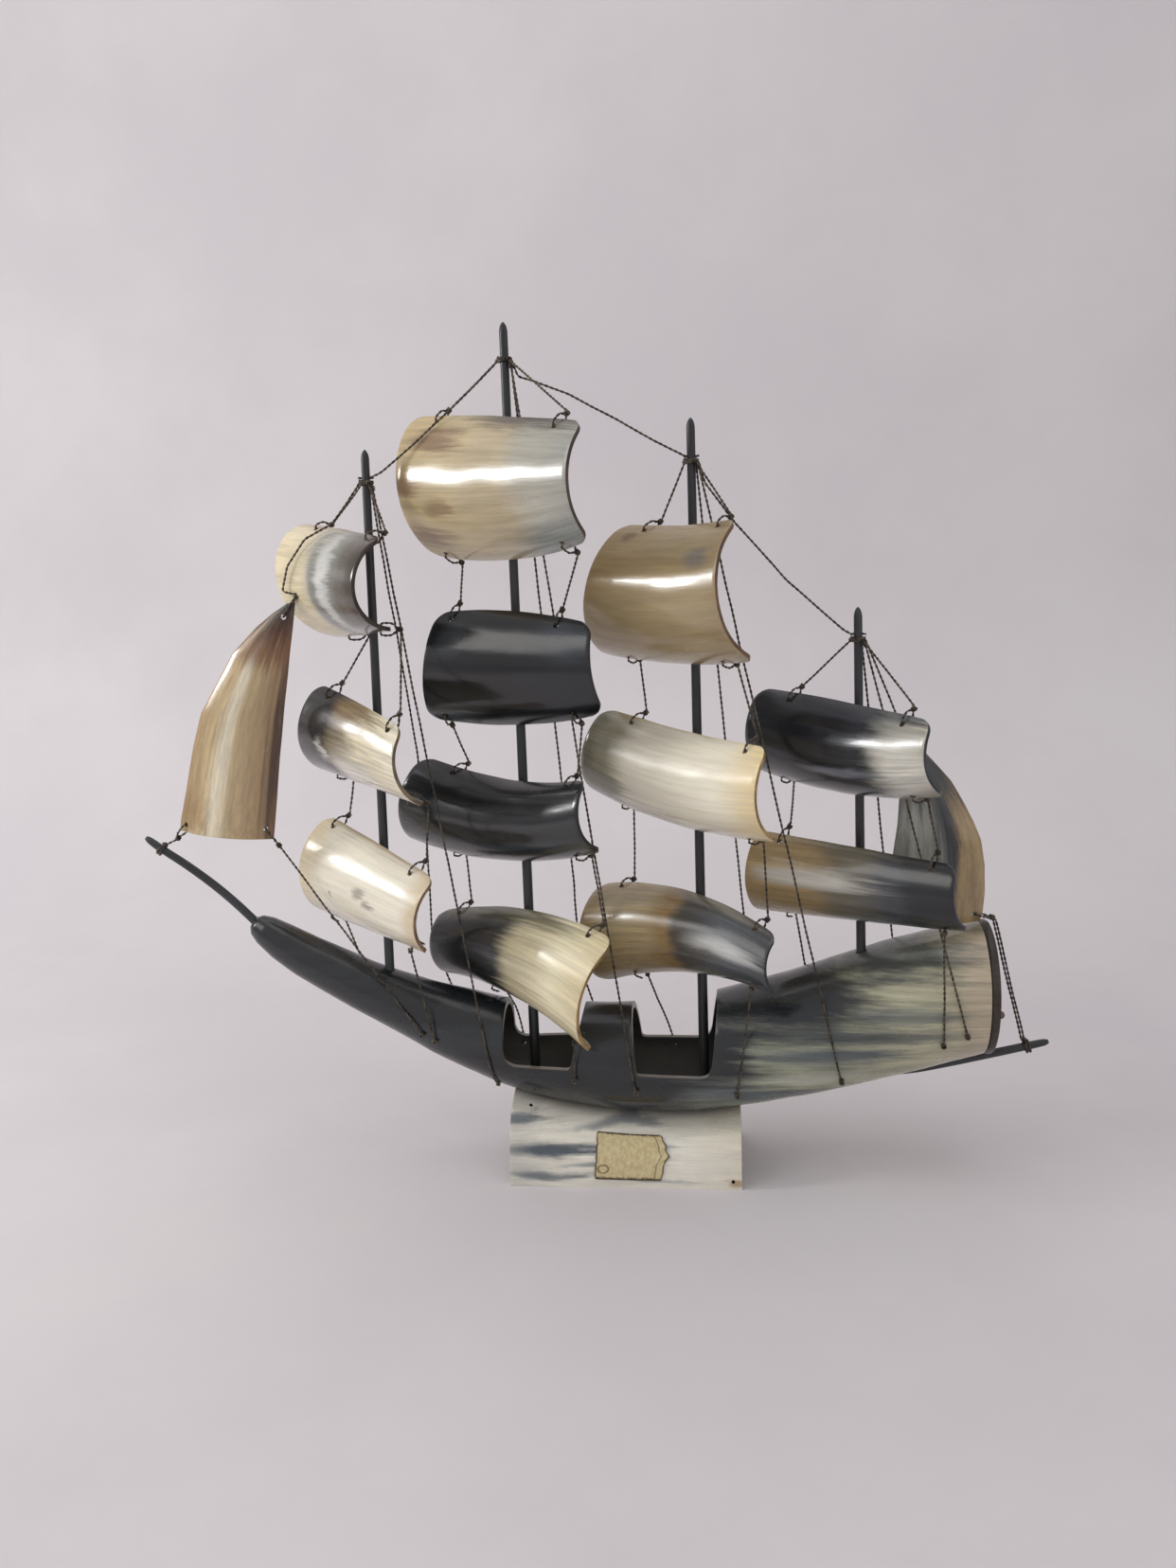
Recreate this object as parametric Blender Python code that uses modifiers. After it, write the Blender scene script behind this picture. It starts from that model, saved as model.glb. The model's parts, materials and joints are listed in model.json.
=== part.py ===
"""Four-masted sailing ship made of horn, standing on a horn arch.

Units in the tables are millimetres and degrees; meshes are made in metres.
+X points to the stern, -Y to the side the ship is looked at from, +Z up.
"""
import math

import bpy
import bmesh
from mathutils import Vector

MM = 0.001
OBJECT_NAME = "horn_sailing_ship"

# ---- driving dimensions ------------------------------------------------------------------
GAP = 0.3                # clearance between pieces that touch
RING_WIRE = 1.3          # radius of the wound ring on a mast
SHELL = 2.4              # thickness of a sail
WIRE_R = 0.8             # radius of the twisted rigging wire
SPAR_LOOP_R = 3.8        # radius of a wire loop round a spar
TIE_BORE_R = 1.5         # radius of a tying hole in the hull
TIE_DEPTH = 2.8          # how deep a wire goes into such a hole
HOLE_R = 1.7             # radius of a tying hole in a sail
HOLE_INSET = 5.5         # hole centre to the edge of the sail, along the curve
HOOK_OFF = 2.3           # how far the wire stands off a sail's face
CORNER_R = 8.0           # rounded corners of the sails
HULL_WALL = 4.0
HULL_ROUND = 12          # bevel resolution, 28 sides
STAND_HALF_WIDTH = 38.0
STAND_WALL = 4.5
CAP_THICK = 5.0

# hull stations: x, height of the axis, half height of the upright section
HULL = [
    (-227.0, 152.4, 5.0), (-225.0, 151.0, 8.4), (-220.0, 147.5, 11.4), (-210.0, 140.5, 13.8),
    (-195.0, 131.0, 15.3), (-180.0, 122.7, 16.3), (-162.0, 113.5, 17.2), (-145.0, 105.6, 18.6),
    (-128.0, 98.0, 20.6), (-111.0, 90.6, 23.0), (-92.0, 83.6, 25.0), (-74.0, 77.5, 26.6),
    (-55.0, 73.2, 28.3), (-35.0, 70.3, 30.0), (-12.0, 68.5, 31.5), (5.0, 67.9, 32.4),
    (23.0, 68.3, 33.4), (40.0, 69.8, 34.3), (57.0, 72.3, 35.2), (80.0, 77.0, 36.6),
    (108.0, 84.0, 38.2), (136.0, 92.0, 39.6), (165.0, 100.6, 40.4), (190.0, 107.5, 39.8),
    (211.0, 112.4, 38.3),
]
HOLLOW_FROM = -92.0
DECK_CUT_1 = [(-71.5, 140), (-71.5, 77), (-69.5, 72.5), (-65, 70.5), (-31, 70), (-23.5, 101), (-23.5, 140)]
DECK_CUT_2 = [(5, 140), (5, 101), (8.5, 67.8), (46, 67), (50.5, 68.5), (52.5, 73), (56, 101), (57, 140)]

# masts: foot x, foot z, top x, top z, tie height, foot radius, top radius
MASTS = {
    "fore": (-143.9, 100.0, -138.4, 431.7, 413.3, 2.9, 2.4),
    "main": (-55.7, 51.0, -55.7, 496.9, 476.9, 3.1, 2.4),
    "third": (47.7, 41.3, 46.7, 441.3, 417.9, 3.1, 2.4),
    "mizzen": (142.0, 59.5, 138.3, 334.7, 316.7, 2.9, 2.4),
}
MAST_OF = {"f": "fore", "m": "main", "n": "third", "z": "mizzen"}

# sails: height of the middle, shift along the width, yaw, roll, pitch, width, radius, half arc, taper, bend,
# bow inward, slant of the left and right edges, belly of the head and of the foot
SAILS = {
    "f1": (359.0, 0.0, 47.0, 2.0, 7.0, 79.0, 30.0, 83.5, -0.13, 0.0, 0.0, -18.5, 2.0, 1.0, 2.0),
    "f2": (267.5, 8.0, 42.0, 9.0, 13.5, 96.0, 30.0, 63.0, -0.14, 0.5, 0.5, 6.0, -6.0, 1.0, 2.0),
    "f3": (175.0, 0.5, 39.0, 8.5, -1.5, 108.0, 32.0, 61.0, -0.16, 0.0, 0.5, 2.0, 0.5, 1.0, 2.0),
    "m1": (408.5, 10.5, 38.5, 2.0, 4.0, 132.5, 43.5, 53.5, -0.14, -1.5, 0.0, -4.0, 0.0, 5.5, 10.5),
    "m2": (307.0, 4.5, 20.0, 0.5, 3.0, 106.0, 40.0, 44.5, -0.11, -1.0, 1.0, 6.0, -2.5, 6.5, 9.5),
    "m3": (216.0, -7.5, 35.0, -2.0, 9.0, 142.0, 26.0, 73.0, -0.15, -9.5, 0.5, 11.0, -2.5, 4.5, 0.0),
    "m4": (133.5, 0.0, 34.5, 4.5, -2.0, 131.0, 30.0, 68.0, 0.28, 8.5, -0.5, -3.0, 6.0, 2.0, 2.0),
    "n1": (345.0, -3.0, 40.0, 0.0, 5.5, 99.0, 41.0, 68.5, 0.0, -3.0, 1.0, 13.0, -3.0, 3.0, 3.5),
    "n2": (238.0, -4.5, 38.0, 6.5, 10.5, 129.0, 30.5, 67.0, -0.02, -6.5, 1.5, 6.5, -3.0, 6.5, -1.0),
    "n3": (146.0, -3.5, 38.5, -2.5, -7.0, 133.0, 25.0, 71.0, -0.29, 9.5, -1.0, -2.5, 0.5, 2.5, 2.0),
    "z1": (255.5, 1.0, 47.0, 1.5, 16.0, 129.0, 29.0, 59.5, -0.13, -6.5, 1.0, 4.5, -1.0, 10.0, 1.0),
    "z2": (180.0, 4.0, 35.0, -1.0, 14.0, 130.0, 26.0, 66.0, -0.16, -0.5, 0.5, 4.0, -1.5, 1.0, 2.0),
}
# tying holes of each sail, as fractions of its half width: head left, head right, foot left, right
HOLES = {
    "f1": (-0.47, 0.78, -0.62, 0.74), "f2": (-0.65, 0.78, -0.68, 0.78),
    "f3": (-0.78, 0.67, -0.68, 0.80), "m1": (-0.67, 0.73, -0.80, 0.70),
    "m2": (-0.80, 0.57, -0.80, 0.68), "m3": (-0.60, 0.80, -0.55, 0.78),
    "m4": (-0.74, 0.76, -0.30, 0.82), "n1": (-0.52, 0.76, -0.62, 0.65),
    "n2": (-0.62, 0.77, -0.63, 0.76), "n3": (-0.71, 0.80, -0.57, 0.80),
    "z1": (-0.63, 0.70, -0.76, 0.72), "z2": (-0.73, 0.78, -0.70, 0.82),
}
CHAINS = (("f1", "f2", "f3"), ("m1", "m2", "m3", "m4"), ("n1", "n2", "n3"), ("z1", "z2"))
# chord plane of each sail in front of its mast's axis, so that its back clears the mast
MAST_OFF = {"f1": 10.0, "f2": 13.5, "f3": 8.0, "m1": 17.0, "m2": 14.5, "m3": 8.5, "m4": 8.0,
            "n1": 11.5, "n2": 9.0, "n3": 9.5, "z1": 12.5, "z2": 12.5}

HALYARD_ON_SAIL = [(-0.12, 0.95), (-0.3, 0.6), (-0.52, 0.25), (-0.75, -0.02)]

# fore-and-aft sails, in rows from the peak down: left edge x and z, right edge x and z, bow
JIB = [
    (-190.6, 347.2, -185.8, 347.4, 0.4), (-200.0, 341.5, -187.2, 340.0, 1.5),
    (-210.8, 333.5, -188.8, 331.0, 3.0), (-225.5, 319.5, -191.6, 316.6, 5.0),
    (-235.1, 304.7, -194.3, 301.5, 6.5), (-248.5, 283.7, -198.0, 281.5, 8.0),
    (-255.8, 262.0, -201.8, 259.5, 9.0), (-262.5, 236.5, -205.6, 233.5, 10.0),
    (-267.6, 218.0, -208.8, 213.0, 10.0), (-268.7, 211.6, -210.2, 205.2, 10.0),
]
SPANKER = [
    (163.6, 260.6, 167.4, 260.2, 0.4), (163.4, 252.5, 175.3, 252.8, 1.5),
    (163.0, 243.5, 183.3, 243.9, 3.0), (162.5, 233.5, 191.3, 234.7, 4.5),
    (162.0, 222.0, 198.3, 222.3, 6.0), (161.2, 210.0, 204.5, 210.0, 7.0),
    (159.6, 199.0, 208.5, 199.9, 7.5), (158.0, 185.5, 210.9, 185.3, 8.0),
    (156.8, 169.5, 211.3, 169.5, 8.0), (156.2, 157.0, 210.4, 157.0, 8.0),
    (156.0, 151.5, 208.8, 151.6, 8.0),
]
JIB_LEAN = 12.0          # how far the jib's peak leans towards -Y
JIB_RAKE = 0.35          # how far it also leans aft, as a share of that
JIB_HOLES = {"peak": (1.15, 0.2), "tack": (8.3, -0.84), "clew": (8.2, 0.85)}
SPANKER_HOLES = {"peak": (1.1, 0.1), "clew": (9.1, 0.82)}
LEAF_HOLE_R = 1.6
LEAF_REACH = 9.5         # how far a wire runs from a hole in these sails before it rounds the edge

# rods as paths in the middle plane: x, z, radius
BOWSPRIT = [(-213, 139.5, 2.6), (-222, 148.9, 2.6), (-242.7, 170.4, 2.6), (-265, 188.4, 2.5),
            (-282, 199.8, 2.4), (-289, 205.3, 2.2), (-291, 207.0, 1.2)]
BOOM = [(143, 56.2, 0.8), (163, 57.8, 1.6), (180, 61.0, 2.4), (246, 76.8, 2.5), (249.7, 77.7, 1.2)]
BOWSPRIT_TIE = (-281.0, 0.0, 199.1)
BOOM_TIE = (236.8, 0.0, 74.6)

# the stand's arch and the label on it: angle on the arch, left edge, right edge
STAND_STATIONS = (-68, -55, -35, -12, 5, 23, 40, 57, 69)
ARCH_POWER = 2.4
ARCH_GAP = 0.8
LABEL_THICK = 0.5
LABEL = [(6, -17.0, 21.5), (12, -17.5, 23.0), (20, -16.4, 23.6), (28, -16.9, 26.6),
         (37, -16.0, 25.0), (45, -16.6, 23.6), (51, -15.6, 21.0)]
STERN = 209.0
PIN_Y, PIN_Z = -33.0, 106.5

# wires tied into the hull: x, angle round it (0 near side, 90 top, 180 far side)
NEAR_SHROUD = {"fore": (-77, -60), "main": (8, -18), "third": (127, -38), "mizzen": (196, -20)}
FAR_SHROUD = {"fore": (-104, 190), "main": (-18, 170), "third": (80, 190), "mizzen": (168, 185)}
SHROUD_VIA = {           # where a far shroud bends round the next mast's sails
    "fore": [(-128.0, 40.0, 250.0), (-126.5, 45.0, 188.0), (-124.0, 34.0, 132.0)],
    "main": [(-30.0, 19.0, 172.0), (-29.0, 23.0, 118.0)],
}
SHEET_BEND = (218.0, 0.0, 152.0)     # where the spanker's sheet turns down past the stern
FOOT_TIES = {                # left foot hole to the far side, right foot hole to the near side
    "f3": ((-165, 150), (-113, -18)), "m4": ((-66, 202), (-28, -10)),
    "n3": ((29, 193), (67, -30)), "z2": ((112, 150), (183, -23)),
}
JIB_SHEET = (-121, -18)
WIRE_OFF = 1.9           # middle of a wire above the hull it lies on
STAY_FORE = [(-62.0, 474.0), (-86.0, 453.0), (-110.0, 433.5), (-130.0, 418.5)]
STAY_THIRD = [(-48.5, 467.5), (-41.5, 465.3), (-20.8, 457.0), (5.2, 442.5), (25.9, 430.0), (41.0, 422.0)]
STAY_MIZZEN = [(54.0, 406.0), (70.0, 384.0), (98.6, 351.0), (130.5, 322.0)]


def clear_scene():
    for ob in list(bpy.data.objects):
        bpy.data.objects.remove(ob, do_unlink=True)


def collection(name):
    col = bpy.data.collections.get(name) or bpy.data.collections.new(name)
    if col.name not in bpy.context.scene.collection.children:
        bpy.context.scene.collection.children.link(col)
    return col


def material(name, color, rough=0.4, metal=0.0):
    mat = bpy.data.materials.new(name)
    mat.use_nodes = True
    bsdf = mat.node_tree.nodes["Principled BSDF"]
    bsdf.inputs["Base Color"].default_value = (*color, 1.0)
    bsdf.inputs["Roughness"].default_value = rough
    bsdf.inputs["Metallic"].default_value = metal
    mat.diffuse_color = (*color, 1.0)
    return mat


# ---- shape tools, all in millimetres -----------------------------------------------------
def new_object(name, data, mat, origin=(0, 0, 0), where=OBJECT_NAME):
    data.materials.append(mat)
    ob = bpy.data.objects.new(name, data)
    ob.location = Vector(origin) * MM
    collection(where).objects.link(ob)
    return ob


def adopt(ob, mat):
    """Give a new primitive its material and move it to the object's own collection."""
    ob.data.materials.append(mat)
    for col in list(ob.users_collection):
        col.objects.unlink(ob)
    collection(OBJECT_NAME).objects.link(ob)


def as_mesh(ob):
    """The same object as a plain mesh, with its modifiers or its curve worked out."""
    bpy.context.view_layer.update()
    depsgraph = bpy.context.evaluated_depsgraph_get()
    mesh = bpy.data.meshes.new_from_object(ob.evaluated_get(depsgraph), depsgraph=depsgraph)
    name, where, matrix = ob.name, ob.users_collection[0], ob.matrix_world.copy()
    bpy.data.objects.remove(ob, do_unlink=True)
    mesh.name = name
    plain = bpy.data.objects.new(name, mesh)
    plain.matrix_world = matrix
    where.objects.link(plain)
    return plain


def rod(name, points, radii, mat, resolution=2, origin=(0, 0, 0), where=OBJECT_NAME):
    """A round rod or wire along a path, with its ends closed."""
    curve = bpy.data.curves.new(name, "CURVE")
    curve.dimensions = "3D"
    curve.bevel_depth = MM
    curve.bevel_resolution = resolution
    curve.use_fill_caps = True
    spline = curve.splines.new("POLY")
    spline.points.add(len(points) - 1)
    if isinstance(radii, (int, float)):
        radii = [radii] * len(points)
    for point, place, radius in zip(spline.points, points, radii):
        point.co = (*((Vector(place) - Vector(origin)) * MM), 1.0)
        point.radius = radius
    return as_mesh(new_object(name, curve, mat, origin, where))


def sheet(name, columns, rows, place, thickness, mat, origin=(0, 0, 0)):
    """A shell from a grid whose points place(column, row) gives; it thickens inwards."""
    mesh = bpy.data.meshes.new(name)
    bm = bmesh.new()
    bmesh.ops.create_grid(bm, x_segments=columns - 1, y_segments=rows - 1, size=0.5)
    for vert in bm.verts:
        column = round((vert.co.x + 0.5) * (columns - 1))
        row = round((vert.co.y + 0.5) * (rows - 1))
        vert.co = (Vector(place(column, row)) - Vector(origin)) * MM
    bm.to_mesh(mesh)
    bm.free()
    ob = new_object(name, mesh, mat, origin)
    solid = ob.modifiers.new("thickness", "SOLIDIFY")
    solid.thickness = thickness * MM
    solid.offset = -1.0
    solid.use_even_offset = True
    return as_mesh(ob)


def block(low, high, mat, where="cutters"):
    mesh = bpy.data.meshes.new("block")
    bm = bmesh.new()
    bmesh.ops.create_cube(bm, size=1.0)
    for vert in bm.verts:
        vert.co = Vector([(a + b) / 2 + c * (b - a) for a, b, c in zip(low, high, vert.co)]) * MM
    bm.to_mesh(mesh)
    bm.free()
    return new_object("block", mesh, mat, where=where)


def outline_block(outline, half, mat):
    """A block with an outline in the x-z plane, cut or joined across the hull."""
    curve = bpy.data.curves.new("outline", "CURVE")
    curve.dimensions = "2D"
    curve.fill_mode = "BOTH"
    curve.extrude = half * MM
    spline = curve.splines.new("POLY")
    spline.points.add(len(outline) - 1)
    for point, (x, z) in zip(spline.points, outline):
        point.co = (x * MM, z * MM, 0.0, 1.0)
    spline.use_cyclic_u = True
    ob = new_object("outline", curve, mat, where="cutters")
    ob.rotation_euler.x = math.radians(90)
    return as_mesh(ob)


def combine(ob, other, operation):
    """Cut a tool out of an object, or join it to the object, and drop the tool."""
    other.hide_render = True
    other.display_type = "WIRE"
    mod = ob.modifiers.new(operation.lower(), "BOOLEAN")
    mod.operation = operation
    mod.solver = "EXACT"
    mod.object = other
    done = as_mesh(ob)
    bpy.data.objects.remove(other, do_unlink=True)
    return done


def drill(ob, start, end, radius, mat, resolution=2):
    return combine(ob, rod("drill", [start, end], radius, mat, resolution, where="cutters"), "DIFFERENCE")


# ---- hull --------------------------------------------------------------------------------
def hull_slope(i):
    (x0, z0, _), (x1, z1, _) = HULL[max(i - 1, 0)], HULL[min(i + 1, len(HULL) - 1)]
    return math.atan2(z1 - z0, x1 - x0)


def hull_at(x):
    """Height of the hull's axis at x, and its half height and half width there."""
    for i in range(len(HULL) - 1):
        (x0, z0, r0), (x1, z1, r1) = HULL[i], HULL[i + 1]
        if x <= x1 or i == len(HULL) - 2:
            t = (x - x0) / (x1 - x0)
            half = r0 + (r1 - r0) * t
            slope = hull_slope(i) * (1 - t) + hull_slope(i + 1) * t
            return z0 + (z1 - z0) * t, half, half * math.cos(slope)


def hull_point(x, angle, off=0.0):
    """Point at a height off over the hull; angle 0 is the near side, 90 the top, 180 the far side."""
    z, half, width = hull_at(x)
    a = math.radians(angle)
    return Vector((x, -(width + off) * math.cos(a), z + (half + off) * math.sin(a)))


def hull_skin(name, first, wall, mat, where=OBJECT_NAME):
    """The horn as a round tube along its bent axis, from station first on, past the stern."""
    stations = [s for s in HULL if s[0] >= first]
    x, z, half = HULL[-1]
    rise = math.tan(hull_slope(len(HULL) - 1))
    stations.append((x + 12, z + 12 * rise, half - 1))
    radii = []
    for x, _, half in stations:
        i = min(range(len(HULL)), key=lambda k: abs(HULL[k][0] - x))
        radii.append(half * math.cos(hull_slope(i)) - wall)
    return rod(name, [(x, 0, z) for x, z, _ in stations], radii, mat, HULL_ROUND, where=where)


def mast_point(mast, z):
    x0, z0, x1, z1 = MASTS[mast][:4]
    return Vector((x0 + (x1 - x0) * (z - z0) / (z1 - z0), 0.0, z))


def path_3d(path):
    return [Vector((x, 0.0, z)) for x, z, _ in path]


def build_hull(mat):
    hull = hull_skin("hull", HULL[0][0], 0.0, mat)
    hull = combine(hull, hull_skin("hollow", HOLLOW_FROM, HULL_WALL, mat, "cutters"), "DIFFERENCE")
    for outline in (DECK_CUT_1, DECK_CUT_2):
        hull = combine(hull, outline_block(outline, 60, mat), "DIFFERENCE")
    hull = combine(hull, block((STERN, -60, 40), (STERN + 40, 60, 180), mat), "DIFFERENCE")
    for name in ("fore", "mizzen"):
        foot = MASTS[name][1] - GAP
        hull = drill(hull, mast_point(name, foot), mast_point(name, 150), MASTS[name][5] + GAP, mat, 4)
    sprit = path_3d(BOWSPRIT)
    back = (sprit[0] - sprit[1]).normalized() * GAP
    hull = drill(hull, sprit[0] + back, sprit[1] - back * 30, BOWSPRIT[0][2] + GAP, mat, 4)
    boom = path_3d(BOOM)
    start = boom[0] - (boom[1] - boom[0]).normalized() * 4
    groove = rod("groove", [start] + boom[1:4], [1.4, 2.3, 3.0, 3.0], mat, 4, where="cutters")
    hull = combine(hull, groove, "DIFFERENCE")
    ties = list(NEAR_SHROUD.values()) + list(FAR_SHROUD.values()) + [JIB_SHEET]
    ties += [tie for pair in FOOT_TIES.values() for tie in pair]
    for x, angle in ties:
        hull = drill(hull, hull_point(x, angle, 3), hull_point(x, angle, -7), TIE_BORE_R, mat)
    pin = Vector((STERN, PIN_Y, PIN_Z))
    return drill(hull, pin - Vector((4, 0, 0)), pin + Vector((4, 0, 0)), 1.0 + GAP, mat)


def build_stern_cap(mat):
    z, half, width = hull_at(STERN)
    bpy.ops.mesh.primitive_cylinder_add(vertices=36, radius=1.0, depth=CAP_THICK * MM)
    cap = bpy.context.object
    cap.name = "stern_cap"
    cap.location = Vector((STERN + GAP + CAP_THICK / 2, 0, z)) * MM
    cap.rotation_euler.y = math.radians(90)
    cap.scale = ((half + 0.8) * MM, (width + 0.8) * MM, 1.0)
    adopt(cap, mat)
    bpy.ops.object.transform_apply(location=False, rotation=True, scale=True)
    edge = cap.modifiers.new("edge", "BEVEL")
    edge.width = 1.4 * MM
    edge.segments = 2
    cap = as_mesh(cap)
    pin = Vector((STERN + CAP_THICK / 2, PIN_Y, PIN_Z))
    return drill(cap, pin - Vector((6, 0, 0)), pin + Vector((6, 0, 0)), 1.0 + GAP, mat)


def build_stern_pin(mat):
    """A round-headed nail: a profile turned about its own axis."""
    profile = [(0, -2.6), (1.0, -2.6), (1.0, 0.3), (2.2, 0.3), (2.2, 1.1), (1.5, 2.2), (0, 2.6)]
    mesh = bpy.data.meshes.new("stern_pin")
    verts = [Vector((r, 0, h)) * MM for r, h in profile]
    mesh.from_pydata(verts, [(i, i + 1) for i in range(len(verts) - 1)], [])
    pin = new_object("stern_pin", mesh, mat, (STERN + GAP + CAP_THICK, PIN_Y, PIN_Z))
    pin.rotation_euler.y = math.radians(90)
    turn = pin.modifiers.new("turn", "SCREW")
    turn.steps = turn.render_steps = 12
    turn.use_merge_vertices = True
    turn.merge_threshold = 1e-5
    turn.use_normal_calculate = True
    return as_mesh(pin)


# ---- masts and spars ---------------------------------------------------------------------
def build_mast(name, mat):
    top, foot_r, top_r = MASTS[name][3], MASTS[name][5], MASTS[name][6]
    heights = (MASTS[name][1], top - 5, top - 1.5, top)
    radii = (foot_r, top_r, top_r * 0.75, 0.6)
    return rod(name + "_mast", [mast_point(name, z) for z in heights], radii, mat, 4)


def build_spar(name, path, mat):
    return rod(name, path_3d(path), [r for _, _, r in path], mat, 4)


# ---- stand and label ---------------------------------------------------------------------
def arch_point(x, angle, off=0.0):
    """Point on the stand's arch; angle 0 is the near foot, 90 the crown, 180 the far foot."""
    z, half, _ = hull_at(x)
    a = math.radians(angle)
    across, up = math.cos(a), max(math.sin(a), 0.0)
    width, height = STAND_HALF_WIDTH + off, z - half - ARCH_GAP + off
    y = -width * math.copysign(abs(across) ** (2 / ARCH_POWER), across)
    return Vector((x, y, height * up ** (2 / ARCH_POWER)))


def build_stand(mat):
    def place(column, row):
        x = STAND_STATIONS[column]
        if row in (0, 22):
            return arch_point(x, 0 if row == 0 else 180) - Vector((0, 0, 5))
        return arch_point(x, 9.0 * (row - 1))

    stand = sheet("stand", len(STAND_STATIONS), 23, place, STAND_WALL, mat)
    stand = combine(stand, block((-99, -60, -20), (99, 60, 0), mat), "DIFFERENCE")
    near = arch_point(-57, 68)
    stand = drill(stand, near + Vector((0, 0, 4)), near - Vector((0, 0, 2.6)), 1.1, mat)
    low = Vector((64, -STAND_HALF_WIDTH, 5))
    return drill(stand, low - Vector((0, 4, 0)), low + Vector((0, 2.6, 0)), 1.1, mat)


def build_label(mat):
    columns = 8

    def place(column, row):
        angle, left, right = LABEL[row]
        x = left + (right - left) * column / (columns - 1)
        return arch_point(x, angle, GAP + LABEL_THICK)

    return sheet("label", columns, len(LABEL), place, LABEL_THICK, mat)


# ---- square sails ------------------------------------------------------------------------
def sail_frame(key):
    """Middle of the chord plane, and the directions across, up and out of it."""
    z, shift, yaw, roll, pitch = SAILS[key][:5]
    yaw, roll, pitch = (math.radians(t) for t in (yaw, roll, pitch))
    level = Vector((math.cos(yaw), -math.sin(yaw), 0))
    front = Vector((-math.sin(yaw), -math.cos(yaw), 0))
    up = Vector((0, 0, 1))
    across = level * math.cos(roll) - up * math.sin(roll)
    tilted = level * math.sin(roll) + up * math.cos(roll)
    rise = tilted * math.cos(pitch) + front * math.sin(pitch)
    out = front * math.cos(pitch) - tilted * math.sin(pitch)
    centre = mast_point(MAST_OF[key[0]], z) + out * MAST_OFF[key] + across * shift
    return centre, across, rise, out


def sail_point(key, along, arc, inset=0.0):
    """Point of a sail: along is -1..1 over its width, arc is -1 at the foot and 1 at the head.

    inset is a distance under the outer face.
    """
    width, radius, half, taper, bend, bow, slant_l, slant_r, head, foot = SAILS[key][5:]
    centre, across, rise, out = sail_frame(key)
    half = math.radians(half)
    r = radius * (1 + taper * along)
    belly = head if arc > 0 else foot
    phi = arc * half + belly / radius * arc * (1 - along * along)
    a = along * width / 2 + arc * (slant_l * (1 - along) + slant_r * (1 + along)) / 2
    b = (r - inset) * math.sin(phi) - bend * along * along
    c = (r - inset) * math.cos(phi) - r * math.cos(half) - bow * along * along
    return centre + across * a + rise * b + out * c


def sail_tie(key, which):
    """Hole of a sail: centre, outward normal and the direction to the nearest edge."""
    along = HOLES[key][which]
    sign = 1 if which < 2 else -1
    radius, half, taper = SAILS[key][6], math.radians(SAILS[key][7]), SAILS[key][8]
    arc_len = radius * (1 + taper * along) * half
    arc = sign * (1 - HOLE_INSET / arc_len)
    centre = sail_point(key, along, arc, SHELL / 2)
    edge = (sail_point(key, along, sign, SHELL / 2) - centre).normalized()
    normal = (sail_point(key, along, arc) - centre).normalized()
    normal = (normal - edge * normal.dot(edge)).normalized()
    return centre, normal, edge


def corner_inset(distance):
    """How far a rounded corner pulls a side in, at a distance from the sail's end."""
    d = min(distance, CORNER_R)
    return CORNER_R - math.sqrt(max(CORNER_R ** 2 - (CORNER_R - d) ** 2, 0.0))


def sail_rows(key):
    """Rows of a sail as arc -1..1 with the distance to the nearer end, closer at the corners."""
    total = 2 * SAILS[key][6] * math.radians(SAILS[key][7])
    ends = [0.0, 1.2, 4.0, CORNER_R]
    inner = [CORNER_R + (total - 2 * CORNER_R) * k / 6 for k in range(1, 6)]
    rows = ends + inner + [total - e for e in reversed(ends)]
    return [(2 * d / total - 1, min(d, total - d)) for d in rows]


def build_sail(key, mat, columns=10):
    rows = sail_rows(key)
    half_width = SAILS[key][5] / 2

    def place(column, row):
        arc, distance = rows[row]
        reach = 1 - corner_inset(distance) / half_width
        return sail_point(key, reach * (2 * column / (columns - 1) - 1), arc)

    pivot = (sail_tie(key, 0)[0] + sail_tie(key, 1)[0]) / 2
    sail = sheet("sail_" + key, columns, len(rows), place, SHELL, mat, pivot)
    for which in range(4):
        centre, normal, _ = sail_tie(key, which)
        sail = drill(sail, centre + normal * 5, centre - normal * 5, HOLE_R, mat)
    return sail


# ---- jib and spanker ---------------------------------------------------------------------
def leaf_point(rows, lean, row, across):
    """Outer face of a fore-and-aft sail: row counts from the peak, across is -1..1."""
    i = min(int(row), len(rows) - 2)
    t = row - i
    xl, zl, xr, zr, bow = [a + (b - a) * t for a, b in zip(rows[i], rows[i + 1])]
    x = (xl * (1 - across) + xr * (1 + across)) / 2
    z = (zl * (1 - across) + zr * (1 + across)) / 2
    return Vector((x + lean_x(lean, z), -bow * (1 - across * across) - lean_y(lean, z), z))


def lean_y(lean, z):
    """A leaning sail comes nearer towards its peak."""
    return lean * max(z - JIB[-1][3], 0.0) / (JIB[0][1] - JIB[-1][3])


def lean_x(lean, z):
    return lean_y(lean, z) * JIB_RAKE


def leaf_tie(rows, lean, place, towards):
    row, across = place
    face = leaf_point(rows, lean, row, across)
    down = leaf_point(rows, lean, row + 0.1, across) - face
    aft = leaf_point(rows, lean, row, across + 0.05) - face
    normal = down.cross(aft).normalized()
    if normal.y > 0:
        normal = -normal
    centre = face - normal * SHELL / 2
    edge = Vector(towards) - centre
    edge = (edge - normal * edge.dot(normal)).normalized()
    return centre, normal, edge, LEAF_REACH


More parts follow.
